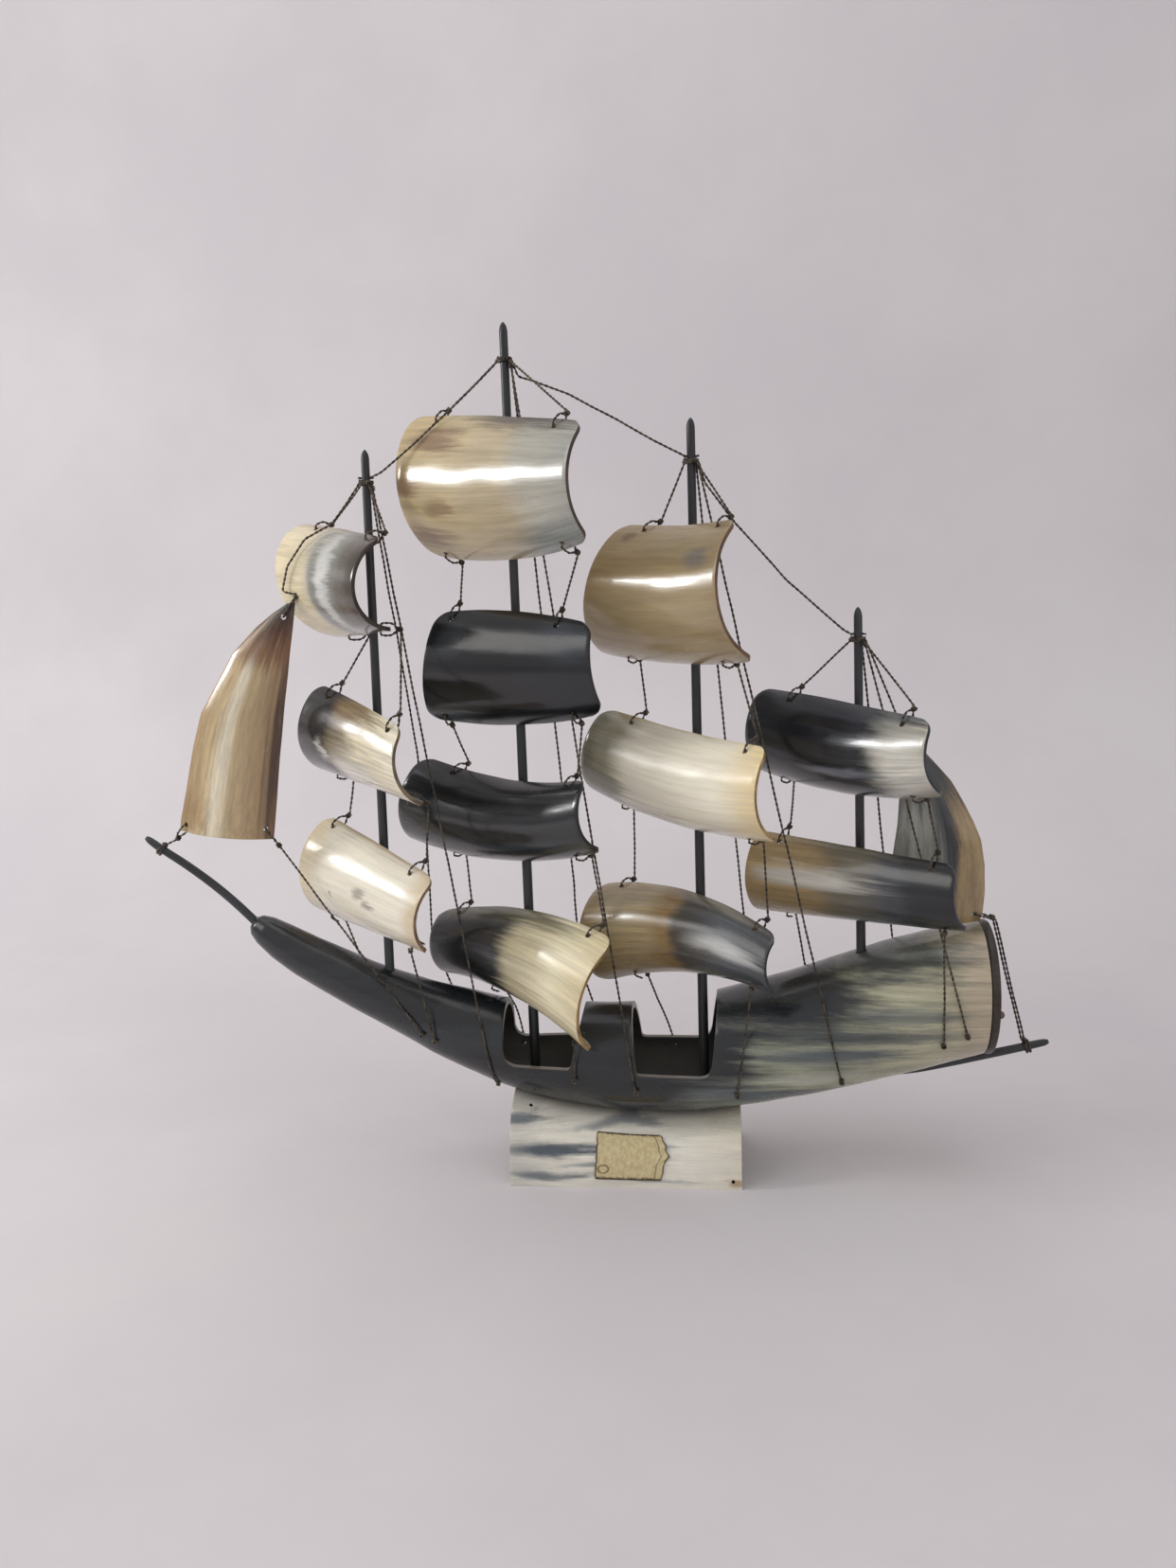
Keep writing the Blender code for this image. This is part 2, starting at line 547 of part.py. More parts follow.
def build_leaf(name, rows, lean, holes, mat, columns=9):
    def place(column, row):
        across = 2 * column / (columns - 1) - 1
        return leaf_point(rows, lean, len(rows) - 1 - row, across)

    ties = [leaf_tie(rows, lean, hole, (0, 0, 0)) for hole in holes.values()]
    leaf = sheet(name, columns, len(rows), place, SHELL, mat, ties[0][0])
    for centre, normal, _, _ in ties:
        leaf = drill(leaf, centre - normal * 5, centre + normal * 5, LEAF_HOLE_R, mat)
    return leaf


# ---- rigging -----------------------------------------------------------------------------
def hook(centre, normal, edge, reach=HOLE_INSET + 2.0):
    """A wire's open end in front of a hole, through it, round the edge and on towards edge."""
    front = centre + normal * (SHELL / 2 + HOOK_OFF)
    back = centre - normal * (SHELL / 2 + HOOK_OFF)
    return [front + edge * reach, front, back, back + edge * reach, centre + edge * (reach + 3.5)]


def clear_of_hull(start, end):
    for k in range(1, 40):
        p = start.lerp(end, k / 40)
        if HULL[0][0] < p.x < STERN:
            z, half, width = hull_at(p.x)
            if (p.y / (width + 1)) ** 2 + ((p.z - z) / (half + 1)) ** 2 < 1.0:
                return False
    return True


def hull_tie(start, x, angle):
    """Path of a taut wire from start, straight to the hull, round it and into its hole."""
    side = 1 if angle > 90 else -1
    touch, touch_x = angle, x
    a = 90.0
    while (angle - a) * side > 0:
        drop = (hull_point(x, a).z - hull_point(x, angle).z) / (start.z - hull_point(x, angle).z)
        here = x + (start.x - x) * max(drop, 0.0)
        if clear_of_hull(start, hull_point(here, a, WIRE_OFF)):
            touch, touch_x = a, here
        a += side * 4
    path = [hull_point(touch_x, touch, WIRE_OFF)]
    steps = math.ceil(abs(angle - touch) / 15)
    for k in range(1, steps + 1):
        t = k / steps
        path.append(hull_point(touch_x + (x - touch_x) * t, touch + (angle - touch) * t, WIRE_OFF))
    return path + [hull_point(x, angle, -TIE_DEPTH)]


def masthead(name):
    return mast_point(name, MASTS[name][4])


def mast_hook(name, start):
    """The end of a stay, hooked round a mast just over the ring."""
    centre = masthead(name) + Vector((0, 0, RING_WIRE + WIRE_R + 0.7))
    radius = MASTS[name][6] + WIRE_R + 0.9
    side = math.copysign(1.0, start.x - centre.x)
    points = []
    for k in range(10):
        t = math.radians(-35 + 27 * k)
        points.append(centre + Vector((side * radius * math.cos(t), radius * math.sin(t), 0)))
    return points


def build_masthead(name, legs, mat):
    """The ring of wire round a mast's head with every wire that leaves it, as one body."""
    centre = masthead(name)
    ring_r = MASTS[name][6] + 0.15 + GAP + RING_WIRE
    lean = mast_point(name, 400) - mast_point(name, 300)
    bpy.ops.mesh.primitive_torus_add(major_segments=16, minor_segments=8, major_radius=ring_r * MM,
                                     minor_radius=RING_WIRE * MM, location=centre * MM)
    ring = bpy.context.object
    ring.rotation_euler = lean.to_track_quat("Z", "Y").to_euler()
    ring.name = name + "_rigging"
    adopt(ring, mat)
    for leg in legs:
        flat = leg[0] - centre
        flat = (flat - lean * flat.dot(lean) / lean.length_squared).normalized()
        start = centre + flat * (ring_r + 0.1)
        ring = combine(ring, rod("leg", [start] + leg, WIRE_R, mat, where="cutters"), "UNION")
    return ring


def top_hook(tie):
    """A hook's path from outside to its open end."""
    return list(reversed(hook(*tie)))


def build_mastheads(mat):
    jib_peak = leaf_tie(JIB, JIB_LEAN, JIB_HOLES["peak"], masthead("fore"))
    spanker_peak = leaf_tie(SPANKER, 0, SPANKER_HOLES["peak"], masthead("mizzen"))
    over_sail = [sail_point("f1", along, arc, -2.0) for along, arc in HALYARD_ON_SAIL]
    stays = {
        "fore": [over_sail + top_hook(jib_peak)],
        "main": [[Vector((x, 0, z)) for x, z in STAY_FORE], [Vector((x, 0, z)) for x, z in STAY_THIRD]],
        "third": [[Vector((x, 0, z)) for x, z in STAY_MIZZEN]],
        "mizzen": [top_hook(spanker_peak)],
    }
    ends = {"main": ("fore", "third"), "third": ("mizzen",)}
    for name, targets in ends.items():
        for leg, target in zip(stays[name], targets):
            leg += mast_hook(target, leg[-1])
    for name, key in (("fore", "f1"), ("main", "m1"), ("third", "n1"), ("mizzen", "z1")):
        legs = [top_hook(sail_tie(key, 0)), top_hook(sail_tie(key, 1))]
        legs.append(hull_tie(masthead(name), *NEAR_SHROUD[name]))
        via = [Vector(p) for p in SHROUD_VIA.get(name, [])]
        legs.append(via + hull_tie(via[-1] if via else masthead(name), *FAR_SHROUD[name]))
        build_masthead(name, legs + stays[name], mat)


def build_links(mat):
    for chain in CHAINS:
        for upper, lower in zip(chain, chain[1:]):
            for side, tag in ((0, "left"), (1, "right")):
                top = sail_tie(upper, 2 + side)
                path = hook(*top) + top_hook(sail_tie(lower, side))
                rod("link_%s_%s_%s" % (upper, lower, tag), path, WIRE_R, mat, origin=top[0])


def build_foot_ties(mat):
    for key, pair in FOOT_TIES.items():
        for side, tag in ((0, "far"), (1, "near")):
            path = hook(*sail_tie(key, 2 + side))
            if tag == "near":
                path = [path[3], path[2], path[1]]
            rod("foot_tie_%s_%s" % (key, tag), path + hull_tie(path[-1], *pair[side]), WIRE_R, mat)


def loop_round(centre, axis, radius, towards):
    """A ring of wire round a spar, open by a little, that starts on the side of towards."""
    axis = Vector(axis).normalized()
    u = Vector(towards) - Vector(centre)
    u = (u - axis * u.dot(axis)).normalized()
    v = axis.cross(u)
    turns = [math.radians(30 * k) for k in range(11)]
    return [Vector(centre) + (u * math.cos(t) + v * math.sin(t)) * radius for t in turns]


def build_sheets(mat):
    tack = leaf_tie(JIB, JIB_LEAN, JIB_HOLES["tack"], BOWSPRIT_TIE)
    sprit = path_3d(BOWSPRIT)
    ring = loop_round(BOWSPRIT_TIE, sprit[4] - sprit[3], SPAR_LOOP_R, tack[0])
    rod("jib_tack", hook(*tack) + ring, WIRE_R, mat)
    end = hull_point(*JIB_SHEET, WIRE_OFF)
    clew = leaf_tie(JIB, JIB_LEAN, JIB_HOLES["clew"], end)
    path = hook(*clew)
    rod("jib_sheet", path + hull_tie(path[-1], *JIB_SHEET), WIRE_R, mat)
    clew = leaf_tie(SPANKER, 0, SPANKER_HOLES["clew"], SHEET_BEND)
    boom = path_3d(BOOM)
    ring = loop_round(BOOM_TIE, boom[3] - boom[2], SPAR_LOOP_R, clew[0])
    rod("spanker_sheet", hook(*clew)[:4] + [Vector(SHEET_BEND)] + ring, WIRE_R, mat)


# ---- the whole object --------------------------------------------------------------------
SAIL_COLORS = {
    "f1": (0.62, 0.52, 0.36), "f2": (0.34, 0.31, 0.26), "f3": (0.72, 0.66, 0.52),
    "m1": (0.48, 0.38, 0.26), "m2": (0.04, 0.05, 0.06), "m3": (0.03, 0.03, 0.03),
    "m4": (0.30, 0.28, 0.20), "n1": (0.42, 0.35, 0.24), "n2": (0.68, 0.62, 0.50),
    "n3": (0.36, 0.30, 0.24), "z1": (0.06, 0.07, 0.09), "z2": (0.28, 0.24, 0.18),
}


def centre_on_origin():
    """Put the middle of the whole object's box over the origin, with its feet on z = 0."""
    bpy.context.view_layer.update()
    solids = list(collection(OBJECT_NAME).objects)
    corners = [ob.matrix_world @ Vector(c) for ob in solids for c in ob.bound_box]
    for axis in (0, 1):
        values = [c[axis] for c in corners]
        middle = (min(values) + max(values)) / 2
        for ob in solids:
            ob.location[axis] -= middle
        print("moved", "xy"[axis], round(-middle / MM, 3))


def main():
    clear_scene()
    wood = {name: material(name, (0.09, 0.09, 0.10), 0.45) for name in
            ("fore_mast", "main_mast", "third_mast", "mizzen_mast", "bowsprit", "stern_boom")}
    wire = material("rigging_wire", (0.05, 0.045, 0.04), 0.5, 0.7)
    build_hull(material("hull_horn", (0.05, 0.05, 0.055), 0.25))
    build_stern_cap(material("stern_cap_horn", (0.05, 0.05, 0.05), 0.35))
    build_stern_pin(material("stern_pin_metal", (0.35, 0.33, 0.30), 0.35, 0.9))
    build_stand(material("stand_horn", (0.72, 0.68, 0.58), 0.3))
    build_label(material("label_paper", (0.62, 0.54, 0.38), 0.6))
    for name in MASTS:
        build_mast(name, wood[name + "_mast"])
    build_spar("bowsprit", BOWSPRIT, wood["bowsprit"])
    build_spar("stern_boom", BOOM, wood["stern_boom"])
    for key, color in SAIL_COLORS.items():
        build_sail(key, material("sail_%s_horn" % key, color, 0.25))
    build_leaf("jib", JIB, JIB_LEAN, JIB_HOLES, material("jib_horn", (0.30, 0.20, 0.13), 0.25))
    build_leaf("spanker", SPANKER, 0.0, SPANKER_HOLES, material("spanker_horn", (0.16, 0.14, 0.12), 0.25))
    build_mastheads(wire)
    build_links(wire)
    build_foot_ties(wire)
    build_sheets(wire)
    centre_on_origin()


main()
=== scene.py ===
import json
import math

import bmesh
import bpy
from mathutils import Matrix, Vector, noise


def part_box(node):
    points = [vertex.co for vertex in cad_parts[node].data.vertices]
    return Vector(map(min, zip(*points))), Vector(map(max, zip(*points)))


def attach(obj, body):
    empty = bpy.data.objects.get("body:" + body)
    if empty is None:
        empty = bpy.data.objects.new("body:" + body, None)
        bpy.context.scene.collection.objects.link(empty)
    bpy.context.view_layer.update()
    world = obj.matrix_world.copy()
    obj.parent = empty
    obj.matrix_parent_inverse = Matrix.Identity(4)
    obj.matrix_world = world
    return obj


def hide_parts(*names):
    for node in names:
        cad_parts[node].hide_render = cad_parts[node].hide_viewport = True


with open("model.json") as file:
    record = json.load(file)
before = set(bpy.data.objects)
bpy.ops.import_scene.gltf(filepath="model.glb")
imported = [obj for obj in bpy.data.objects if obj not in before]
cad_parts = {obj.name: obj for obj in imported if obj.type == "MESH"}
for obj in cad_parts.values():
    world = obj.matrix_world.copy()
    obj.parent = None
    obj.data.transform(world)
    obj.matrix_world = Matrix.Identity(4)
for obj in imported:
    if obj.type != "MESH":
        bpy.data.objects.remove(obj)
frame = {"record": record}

bl_info = {
    "name": "Horn Sailing Ship",
    "version": (1, 0, 0),
    "blender": (4, 5, 0),
    "location": "View3D > Sidebar > Horn Ship",
    "description": "Builds the visual model of a carved horn sailing ship and its studio",
    "category": "Add Mesh",
}

# ---- the design's own dimensions, in millimetres and degrees -------------------------------
MM = 0.001
GAP = 0.3                # clearance between pieces that touch
RING_WIRE = 1.3          # radius of the wound ring on a mast
SHELL = 2.4              # thickness of a sail
WIRE_R = 0.8             # radius of the twisted rigging wire
SPAR_LOOP_R = 3.8        # radius of a wire loop round a spar
TIE_DEPTH = 2.8          # how deep a wire goes into such a hole
HOLE_R = 1.7             # radius of a tying hole in a sail
HOLE_INSET = 5.5         # hole centre to the edge of the sail, along the curve
HOOK_OFF = 2.3           # how far the wire stands off a sail's face
CORNER_R = 8.0           # rounded corners of the sails
HULL_WALL = 4.0
STAND_HALF_WIDTH = 38.0
STAND_WALL = 4.5
CAP_THICK = 5.0
HULL = [
    (-227.0, 152.4, 5.0), (-225.0, 151.0, 8.4), (-220.0, 147.5, 11.4), (-210.0, 140.5, 13.8),
    (-195.0, 131.0, 15.3), (-180.0, 122.7, 16.3), (-162.0, 113.5, 17.2), (-145.0, 105.6, 18.6),
    (-128.0, 98.0, 20.6), (-111.0, 90.6, 23.0), (-92.0, 83.6, 25.0), (-74.0, 77.5, 26.6),
    (-55.0, 73.2, 28.3), (-35.0, 70.3, 30.0), (-12.0, 68.5, 31.5), (5.0, 67.9, 32.4),
    (23.0, 68.3, 33.4), (40.0, 69.8, 34.3), (57.0, 72.3, 35.2), (80.0, 77.0, 36.6),
    (108.0, 84.0, 38.2), (136.0, 92.0, 39.6), (165.0, 100.6, 40.4), (190.0, 107.5, 39.8),
    (211.0, 112.4, 38.3),
]
HOLLOW_FROM = -92.0
DECK_CUT_1 = [(-71.5, 140), (-71.5, 77), (-69.5, 72.5), (-65, 70.5), (-31, 70), (-23.5, 101), (-23.5, 140)]
DECK_CUT_2 = [(5, 140), (5, 101), (8.5, 67.8), (46, 67), (50.5, 68.5), (52.5, 73), (56, 101), (57, 140)]
MASTS = {
    "fore": (-143.9, 100.0, -138.4, 431.7, 413.3, 2.9, 2.4),
    "main": (-55.7, 51.0, -55.7, 496.9, 476.9, 3.1, 2.4),
    "third": (47.7, 41.3, 46.7, 441.3, 417.9, 3.1, 2.4),
    "mizzen": (142.0, 59.5, 138.3, 334.7, 316.7, 2.9, 2.4),
}
MAST_OF = {"f": "fore", "m": "main", "n": "third", "z": "mizzen"}
SAILS = {
    "f1": (359.0, 0.0, 47.0, 2.0, 7.0, 79.0, 30.0, 83.5, -0.13, 0.0, 0.0, -18.5, 2.0, 1.0, 2.0),
    "f2": (267.5, 8.0, 42.0, 9.0, 13.5, 96.0, 30.0, 63.0, -0.14, 0.5, 0.5, 6.0, -6.0, 1.0, 2.0),
    "f3": (175.0, 0.5, 39.0, 8.5, -1.5, 108.0, 32.0, 61.0, -0.16, 0.0, 0.5, 2.0, 0.5, 1.0, 2.0),
    "m1": (408.5, 10.5, 38.5, 2.0, 4.0, 132.5, 43.5, 53.5, -0.14, -1.5, 0.0, -4.0, 0.0, 5.5, 10.5),
    "m2": (307.0, 4.5, 20.0, 0.5, 3.0, 106.0, 40.0, 44.5, -0.11, -1.0, 1.0, 6.0, -2.5, 6.5, 9.5),
    "m3": (216.0, -7.5, 35.0, -2.0, 9.0, 142.0, 26.0, 73.0, -0.15, -9.5, 0.5, 11.0, -2.5, 4.5, 0.0),
    "m4": (133.5, 0.0, 34.5, 4.5, -2.0, 131.0, 30.0, 68.0, 0.28, 8.5, -0.5, -3.0, 6.0, 2.0, 2.0),
    "n1": (345.0, -3.0, 40.0, 0.0, 5.5, 99.0, 41.0, 68.5, 0.0, -3.0, 1.0, 13.0, -3.0, 3.0, 3.5),
    "n2": (238.0, -4.5, 38.0, 6.5, 10.5, 129.0, 30.5, 67.0, -0.02, -6.5, 1.5, 6.5, -3.0, 6.5, -1.0),
    "n3": (146.0, -3.5, 38.5, -2.5, -7.0, 133.0, 25.0, 71.0, -0.29, 9.5, -1.0, -2.5, 0.5, 2.5, 2.0),
    "z1": (255.5, 1.0, 47.0, 1.5, 16.0, 129.0, 29.0, 59.5, -0.13, -6.5, 1.0, 4.5, -1.0, 10.0, 1.0),
    "z2": (180.0, 4.0, 35.0, -1.0, 14.0, 130.0, 26.0, 66.0, -0.16, -0.5, 0.5, 4.0, -1.5, 1.0, 2.0),
}
HOLES = {
    "f1": (-0.47, 0.78, -0.62, 0.74), "f2": (-0.65, 0.78, -0.68, 0.78),
    "f3": (-0.78, 0.67, -0.68, 0.80), "m1": (-0.67, 0.73, -0.80, 0.70),
    "m2": (-0.80, 0.57, -0.80, 0.68), "m3": (-0.60, 0.80, -0.55, 0.78),
    "m4": (-0.74, 0.76, -0.30, 0.82), "n1": (-0.52, 0.76, -0.62, 0.65),
    "n2": (-0.62, 0.77, -0.63, 0.76), "n3": (-0.71, 0.80, -0.57, 0.80),
    "z1": (-0.63, 0.70, -0.76, 0.72), "z2": (-0.73, 0.78, -0.70, 0.82),
}
CHAINS = (("f1", "f2", "f3"), ("m1", "m2", "m3", "m4"), ("n1", "n2", "n3"), ("z1", "z2"))
MAST_OFF = {"f1": 10.0, "f2": 13.5, "f3": 8.0, "m1": 17.0, "m2": 14.5, "m3": 8.5, "m4": 8.0,
            "n1": 11.5, "n2": 9.0, "n3": 9.5, "z1": 12.5, "z2": 12.5}
HALYARD_ON_SAIL = [(-0.12, 0.95), (-0.3, 0.6), (-0.52, 0.25), (-0.75, -0.02)]
JIB = [
    (-190.6, 347.2, -185.8, 347.4, 0.4), (-200.0, 341.5, -187.2, 340.0, 1.5),
    (-210.8, 333.5, -188.8, 331.0, 3.0), (-225.5, 319.5, -191.6, 316.6, 5.0),
    (-235.1, 304.7, -194.3, 301.5, 6.5), (-248.5, 283.7, -198.0, 281.5, 8.0),
    (-255.8, 262.0, -201.8, 259.5, 9.0), (-262.5, 236.5, -205.6, 233.5, 10.0),
    (-267.6, 218.0, -208.8, 213.0, 10.0), (-268.7, 211.6, -210.2, 205.2, 10.0),
]
SPANKER = [
    (163.6, 260.6, 167.4, 260.2, 0.4), (163.4, 252.5, 175.3, 252.8, 1.5),
    (163.0, 243.5, 183.3, 243.9, 3.0), (162.5, 233.5, 191.3, 234.7, 4.5),
    (162.0, 222.0, 198.3, 222.3, 6.0), (161.2, 210.0, 204.5, 210.0, 7.0),
    (159.6, 199.0, 208.5, 199.9, 7.5), (158.0, 185.5, 210.9, 185.3, 8.0),
    (156.8, 169.5, 211.3, 169.5, 8.0), (156.2, 157.0, 210.4, 157.0, 8.0),
    (156.0, 151.5, 208.8, 151.6, 8.0),
]
JIB_LEAN = 12.0          # how far the jib's peak leans towards -Y
JIB_RAKE = 0.35          # how far it also leans aft, as a share of that
JIB_HOLES = {"peak": (1.15, 0.2), "tack": (8.3, -0.84), "clew": (8.2, 0.85)}
SPANKER_HOLES = {"peak": (1.1, 0.1), "clew": (9.1, 0.82)}
LEAF_HOLE_R = 1.6
LEAF_REACH = 9.5         # how far a wire runs from a hole in these sails before it rounds the edge
BOWSPRIT = [(-213, 139.5, 2.6), (-222, 148.9, 2.6), (-242.7, 170.4, 2.6), (-265, 188.4, 2.5),
            (-282, 199.8, 2.4), (-289, 205.3, 2.2), (-291, 207.0, 1.2)]
BOOM = [(143, 56.2, 0.8), (163, 57.8, 1.6), (180, 61.0, 2.4), (246, 76.8, 2.5), (249.7, 77.7, 1.2)]
BOWSPRIT_TIE = (-281.0, 0.0, 199.1)
BOOM_TIE = (236.8, 0.0, 74.6)
STAND_STATIONS = (-68, -55, -35, -12, 5, 23, 40, 57, 69)
ARCH_POWER = 2.4
ARCH_GAP = 0.8
LABEL_THICK = 0.5
LABEL = [(6, -17.0, 21.5), (12, -17.5, 23.0), (20, -16.4, 23.6), (28, -16.9, 26.6),
         (37, -16.0, 25.0), (45, -16.6, 23.6), (51, -15.6, 21.0)]
STERN = 209.0
PIN_Y, PIN_Z = -33.0, 106.5
NEAR_SHROUD = {"fore": (-77, -60), "main": (8, -18), "third": (127, -38), "mizzen": (196, -20)}
FAR_SHROUD = {"fore": (-104, 190), "main": (-18, 170), "third": (80, 190), "mizzen": (168, 185)}
SHROUD_VIA = {           # where a far shroud bends round the next mast's sails
    "fore": [(-128.0, 40.0, 250.0), (-126.5, 45.0, 188.0), (-124.0, 34.0, 132.0)],
    "main": [(-30.0, 19.0, 172.0), (-29.0, 23.0, 118.0)],
}
SHEET_BEND = (218.0, 0.0, 152.0)     # where the spanker's sheet turns down past the stern
FOOT_TIES = {                # left foot hole to the far side, right foot hole to the near side
    "f3": ((-165, 150), (-113, -18)), "m4": ((-66, 202), (-28, -10)),
    "n3": ((29, 193), (67, -30)), "z2": ((112, 150), (183, -23)),
}
JIB_SHEET = (-121, -18)
WIRE_OFF = 1.9           # middle of a wire above the hull it lies on
STAY_FORE = [(-62.0, 474.0), (-86.0, 453.0), (-110.0, 433.5), (-130.0, 418.5)]
STAY_THIRD = [(-48.5, 467.5), (-41.5, 465.3), (-20.8, 457.0), (5.2, 442.5), (25.9, 430.0), (41.0, 422.0)]
STAY_MIZZEN = [(54.0, 406.0), (70.0, 384.0), (98.6, 351.0), (130.5, 322.0)]


# ---- the design's geometry, in millimetres ------------------------------------------------
def hull_slope(i):
    (x0, z0, _), (x1, z1, _) = HULL[max(i - 1, 0)], HULL[min(i + 1, len(HULL) - 1)]
    return math.atan2(z1 - z0, x1 - x0)


def hull_at(x):
    """Height of the hull's axis at x, and its half height and half width there."""
    for i in range(len(HULL) - 1):
        (x0, z0, r0), (x1, z1, r1) = HULL[i], HULL[i + 1]
        if x <= x1 or i == len(HULL) - 2:
            t = (x - x0) / (x1 - x0)
            half = r0 + (r1 - r0) * t
            slope = hull_slope(i) * (1 - t) + hull_slope(i + 1) * t
            return z0 + (z1 - z0) * t, half, half * math.cos(slope)


def hull_point(x, angle, off=0.0):
    """Point at a height off over the hull; angle 0 is the near side, 90 the top, 180 the far side."""
    z, half, width = hull_at(x)
    a = math.radians(angle)
    return Vector((x, -(width + off) * math.cos(a), z + (half + off) * math.sin(a)))


def mast_point(mast, z):
    x0, z0, x1, z1 = MASTS[mast][:4]
    return Vector((x0 + (x1 - x0) * (z - z0) / (z1 - z0), 0.0, z))


def path_3d(path):
    return [Vector((x, 0.0, z)) for x, z, _ in path]


def arch_point(x, angle, off=0.0):
    """Point on the stand's arch; angle 0 is the near foot, 90 the crown, 180 the far foot."""
    z, half, _ = hull_at(x)
    a = math.radians(angle)
    across, up = math.cos(a), max(math.sin(a), 0.0)
    width, height = STAND_HALF_WIDTH + off, z - half - ARCH_GAP + off
    y = -width * math.copysign(abs(across) ** (2 / ARCH_POWER), across)
    return Vector((x, y, height * up ** (2 / ARCH_POWER)))


def sail_frame(key):
    """Middle of the chord plane, and the directions across, up and out of it."""
    z, shift, yaw, roll, pitch = SAILS[key][:5]
    yaw, roll, pitch = (math.radians(t) for t in (yaw, roll, pitch))
    level = Vector((math.cos(yaw), -math.sin(yaw), 0))
    front = Vector((-math.sin(yaw), -math.cos(yaw), 0))
    up = Vector((0, 0, 1))
    across = level * math.cos(roll) - up * math.sin(roll)
    tilted = level * math.sin(roll) + up * math.cos(roll)
    rise = tilted * math.cos(pitch) + front * math.sin(pitch)
    out = front * math.cos(pitch) - tilted * math.sin(pitch)
    centre = mast_point(MAST_OF[key[0]], z) + out * MAST_OFF[key] + across * shift
    return centre, across, rise, out


def sail_point(key, along, arc, inset=0.0):
    """Point of a sail: along is -1..1 over its width, arc is -1 at the foot and 1 at the head.

    inset is a distance under the outer face.
    """
    width, radius, half, taper, bend, bow, slant_l, slant_r, head, foot = SAILS[key][5:]
    centre, across, rise, out = sail_frame(key)
    half = math.radians(half)
    r = radius * (1 + taper * along)
    belly = head if arc > 0 else foot
    phi = arc * half + belly / radius * arc * (1 - along * along)
    a = along * width / 2 + arc * (slant_l * (1 - along) + slant_r * (1 + along)) / 2
    b = (r - inset) * math.sin(phi) - bend * along * along
    c = (r - inset) * math.cos(phi) - r * math.cos(half) - bow * along * along
    return centre + across * a + rise * b + out * c


def sail_tie(key, which):
    """Hole of a sail: centre, outward normal and the direction to the nearest edge."""
    along = HOLES[key][which]
    sign = 1 if which < 2 else -1
    radius, half, taper = SAILS[key][6], math.radians(SAILS[key][7]), SAILS[key][8]
    arc_len = radius * (1 + taper * along) * half
    arc = sign * (1 - HOLE_INSET / arc_len)
    centre = sail_point(key, along, arc, SHELL / 2)
    edge = (sail_point(key, along, sign, SHELL / 2) - centre).normalized()
    normal = (sail_point(key, along, arc) - centre).normalized()
    normal = (normal - edge * normal.dot(edge)).normalized()
    return centre, normal, edge


def corner_inset(distance):
    """How far a rounded corner pulls a side in, at a distance from the sail's end."""
    d = min(distance, CORNER_R)
    return CORNER_R - math.sqrt(max(CORNER_R ** 2 - (CORNER_R - d) ** 2, 0.0))


def leaf_point(rows, lean, row, across):
    """Outer face of a fore-and-aft sail: row counts from the peak, across is -1..1."""
    i = min(int(row), len(rows) - 2)
    t = row - i
    xl, zl, xr, zr, bow = [a + (b - a) * t for a, b in zip(rows[i], rows[i + 1])]
    x = (xl * (1 - across) + xr * (1 + across)) / 2
    z = (zl * (1 - across) + zr * (1 + across)) / 2
    return Vector((x + lean_x(lean, z), -bow * (1 - across * across) - lean_y(lean, z), z))


def lean_y(lean, z):
    """A leaning sail comes nearer towards its peak."""
    return lean * max(z - JIB[-1][3], 0.0) / (JIB[0][1] - JIB[-1][3])


def lean_x(lean, z):
    return lean_y(lean, z) * JIB_RAKE


def leaf_tie(rows, lean, place, towards):
    row, across = place
    face = leaf_point(rows, lean, row, across)
    down = leaf_point(rows, lean, row + 0.1, across) - face
    aft = leaf_point(rows, lean, row, across + 0.05) - face
    normal = down.cross(aft).normalized()
    if normal.y > 0:
        normal = -normal
    centre = face - normal * SHELL / 2
    edge = Vector(towards) - centre
    edge = (edge - normal * edge.dot(normal)).normalized()
    return centre, normal, edge, LEAF_REACH


def hook(centre, normal, edge, reach=HOLE_INSET + 2.0):
    """A wire's open end in front of a hole, through it, round the edge and on towards edge."""
    front = centre + normal * (SHELL / 2 + HOOK_OFF)
    back = centre - normal * (SHELL / 2 + HOOK_OFF)
    return [front + edge * reach, front, back, back + edge * reach, centre + edge * (reach + 3.5)]


def clear_of_hull(start, end):
    for k in range(1, 40):
        p = start.lerp(end, k / 40)
        if HULL[0][0] < p.x < STERN:
            z, half, width = hull_at(p.x)
            if (p.y / (width + 1)) ** 2 + ((p.z - z) / (half + 1)) ** 2 < 1.0:
                return False
    return True


def hull_tie(start, x, angle):
    """Path of a taut wire from start, straight to the hull, round it and into its hole."""
    side = 1 if angle > 90 else -1
    touch, touch_x = angle, x
    a = 90.0
    while (angle - a) * side > 0:
        drop = (hull_point(x, a).z - hull_point(x, angle).z) / (start.z - hull_point(x, angle).z)
        here = x + (start.x - x) * max(drop, 0.0)
        if clear_of_hull(start, hull_point(here, a, WIRE_OFF)):
            touch, touch_x = a, here
        a += side * 4
    path = [hull_point(touch_x, touch, WIRE_OFF)]
    steps = math.ceil(abs(angle - touch) / 15)
    for k in range(1, steps + 1):
        t = k / steps
        path.append(hull_point(touch_x + (x - touch_x) * t, touch + (angle - touch) * t, WIRE_OFF))
    return path + [hull_point(x, angle, -TIE_DEPTH)]


def masthead(name):
    return mast_point(name, MASTS[name][4])


def mast_hook(name, start):
    """The end of a stay, hooked round a mast just over the ring."""
    centre = masthead(name) + Vector((0, 0, RING_WIRE + WIRE_R + 0.7))
    radius = MASTS[name][6] + WIRE_R + 0.9
    side = math.copysign(1.0, start.x - centre.x)
    points = []
    for k in range(10):
        t = math.radians(-35 + 27 * k)
        points.append(centre + Vector((side * radius * math.cos(t), radius * math.sin(t), 0)))
    return points


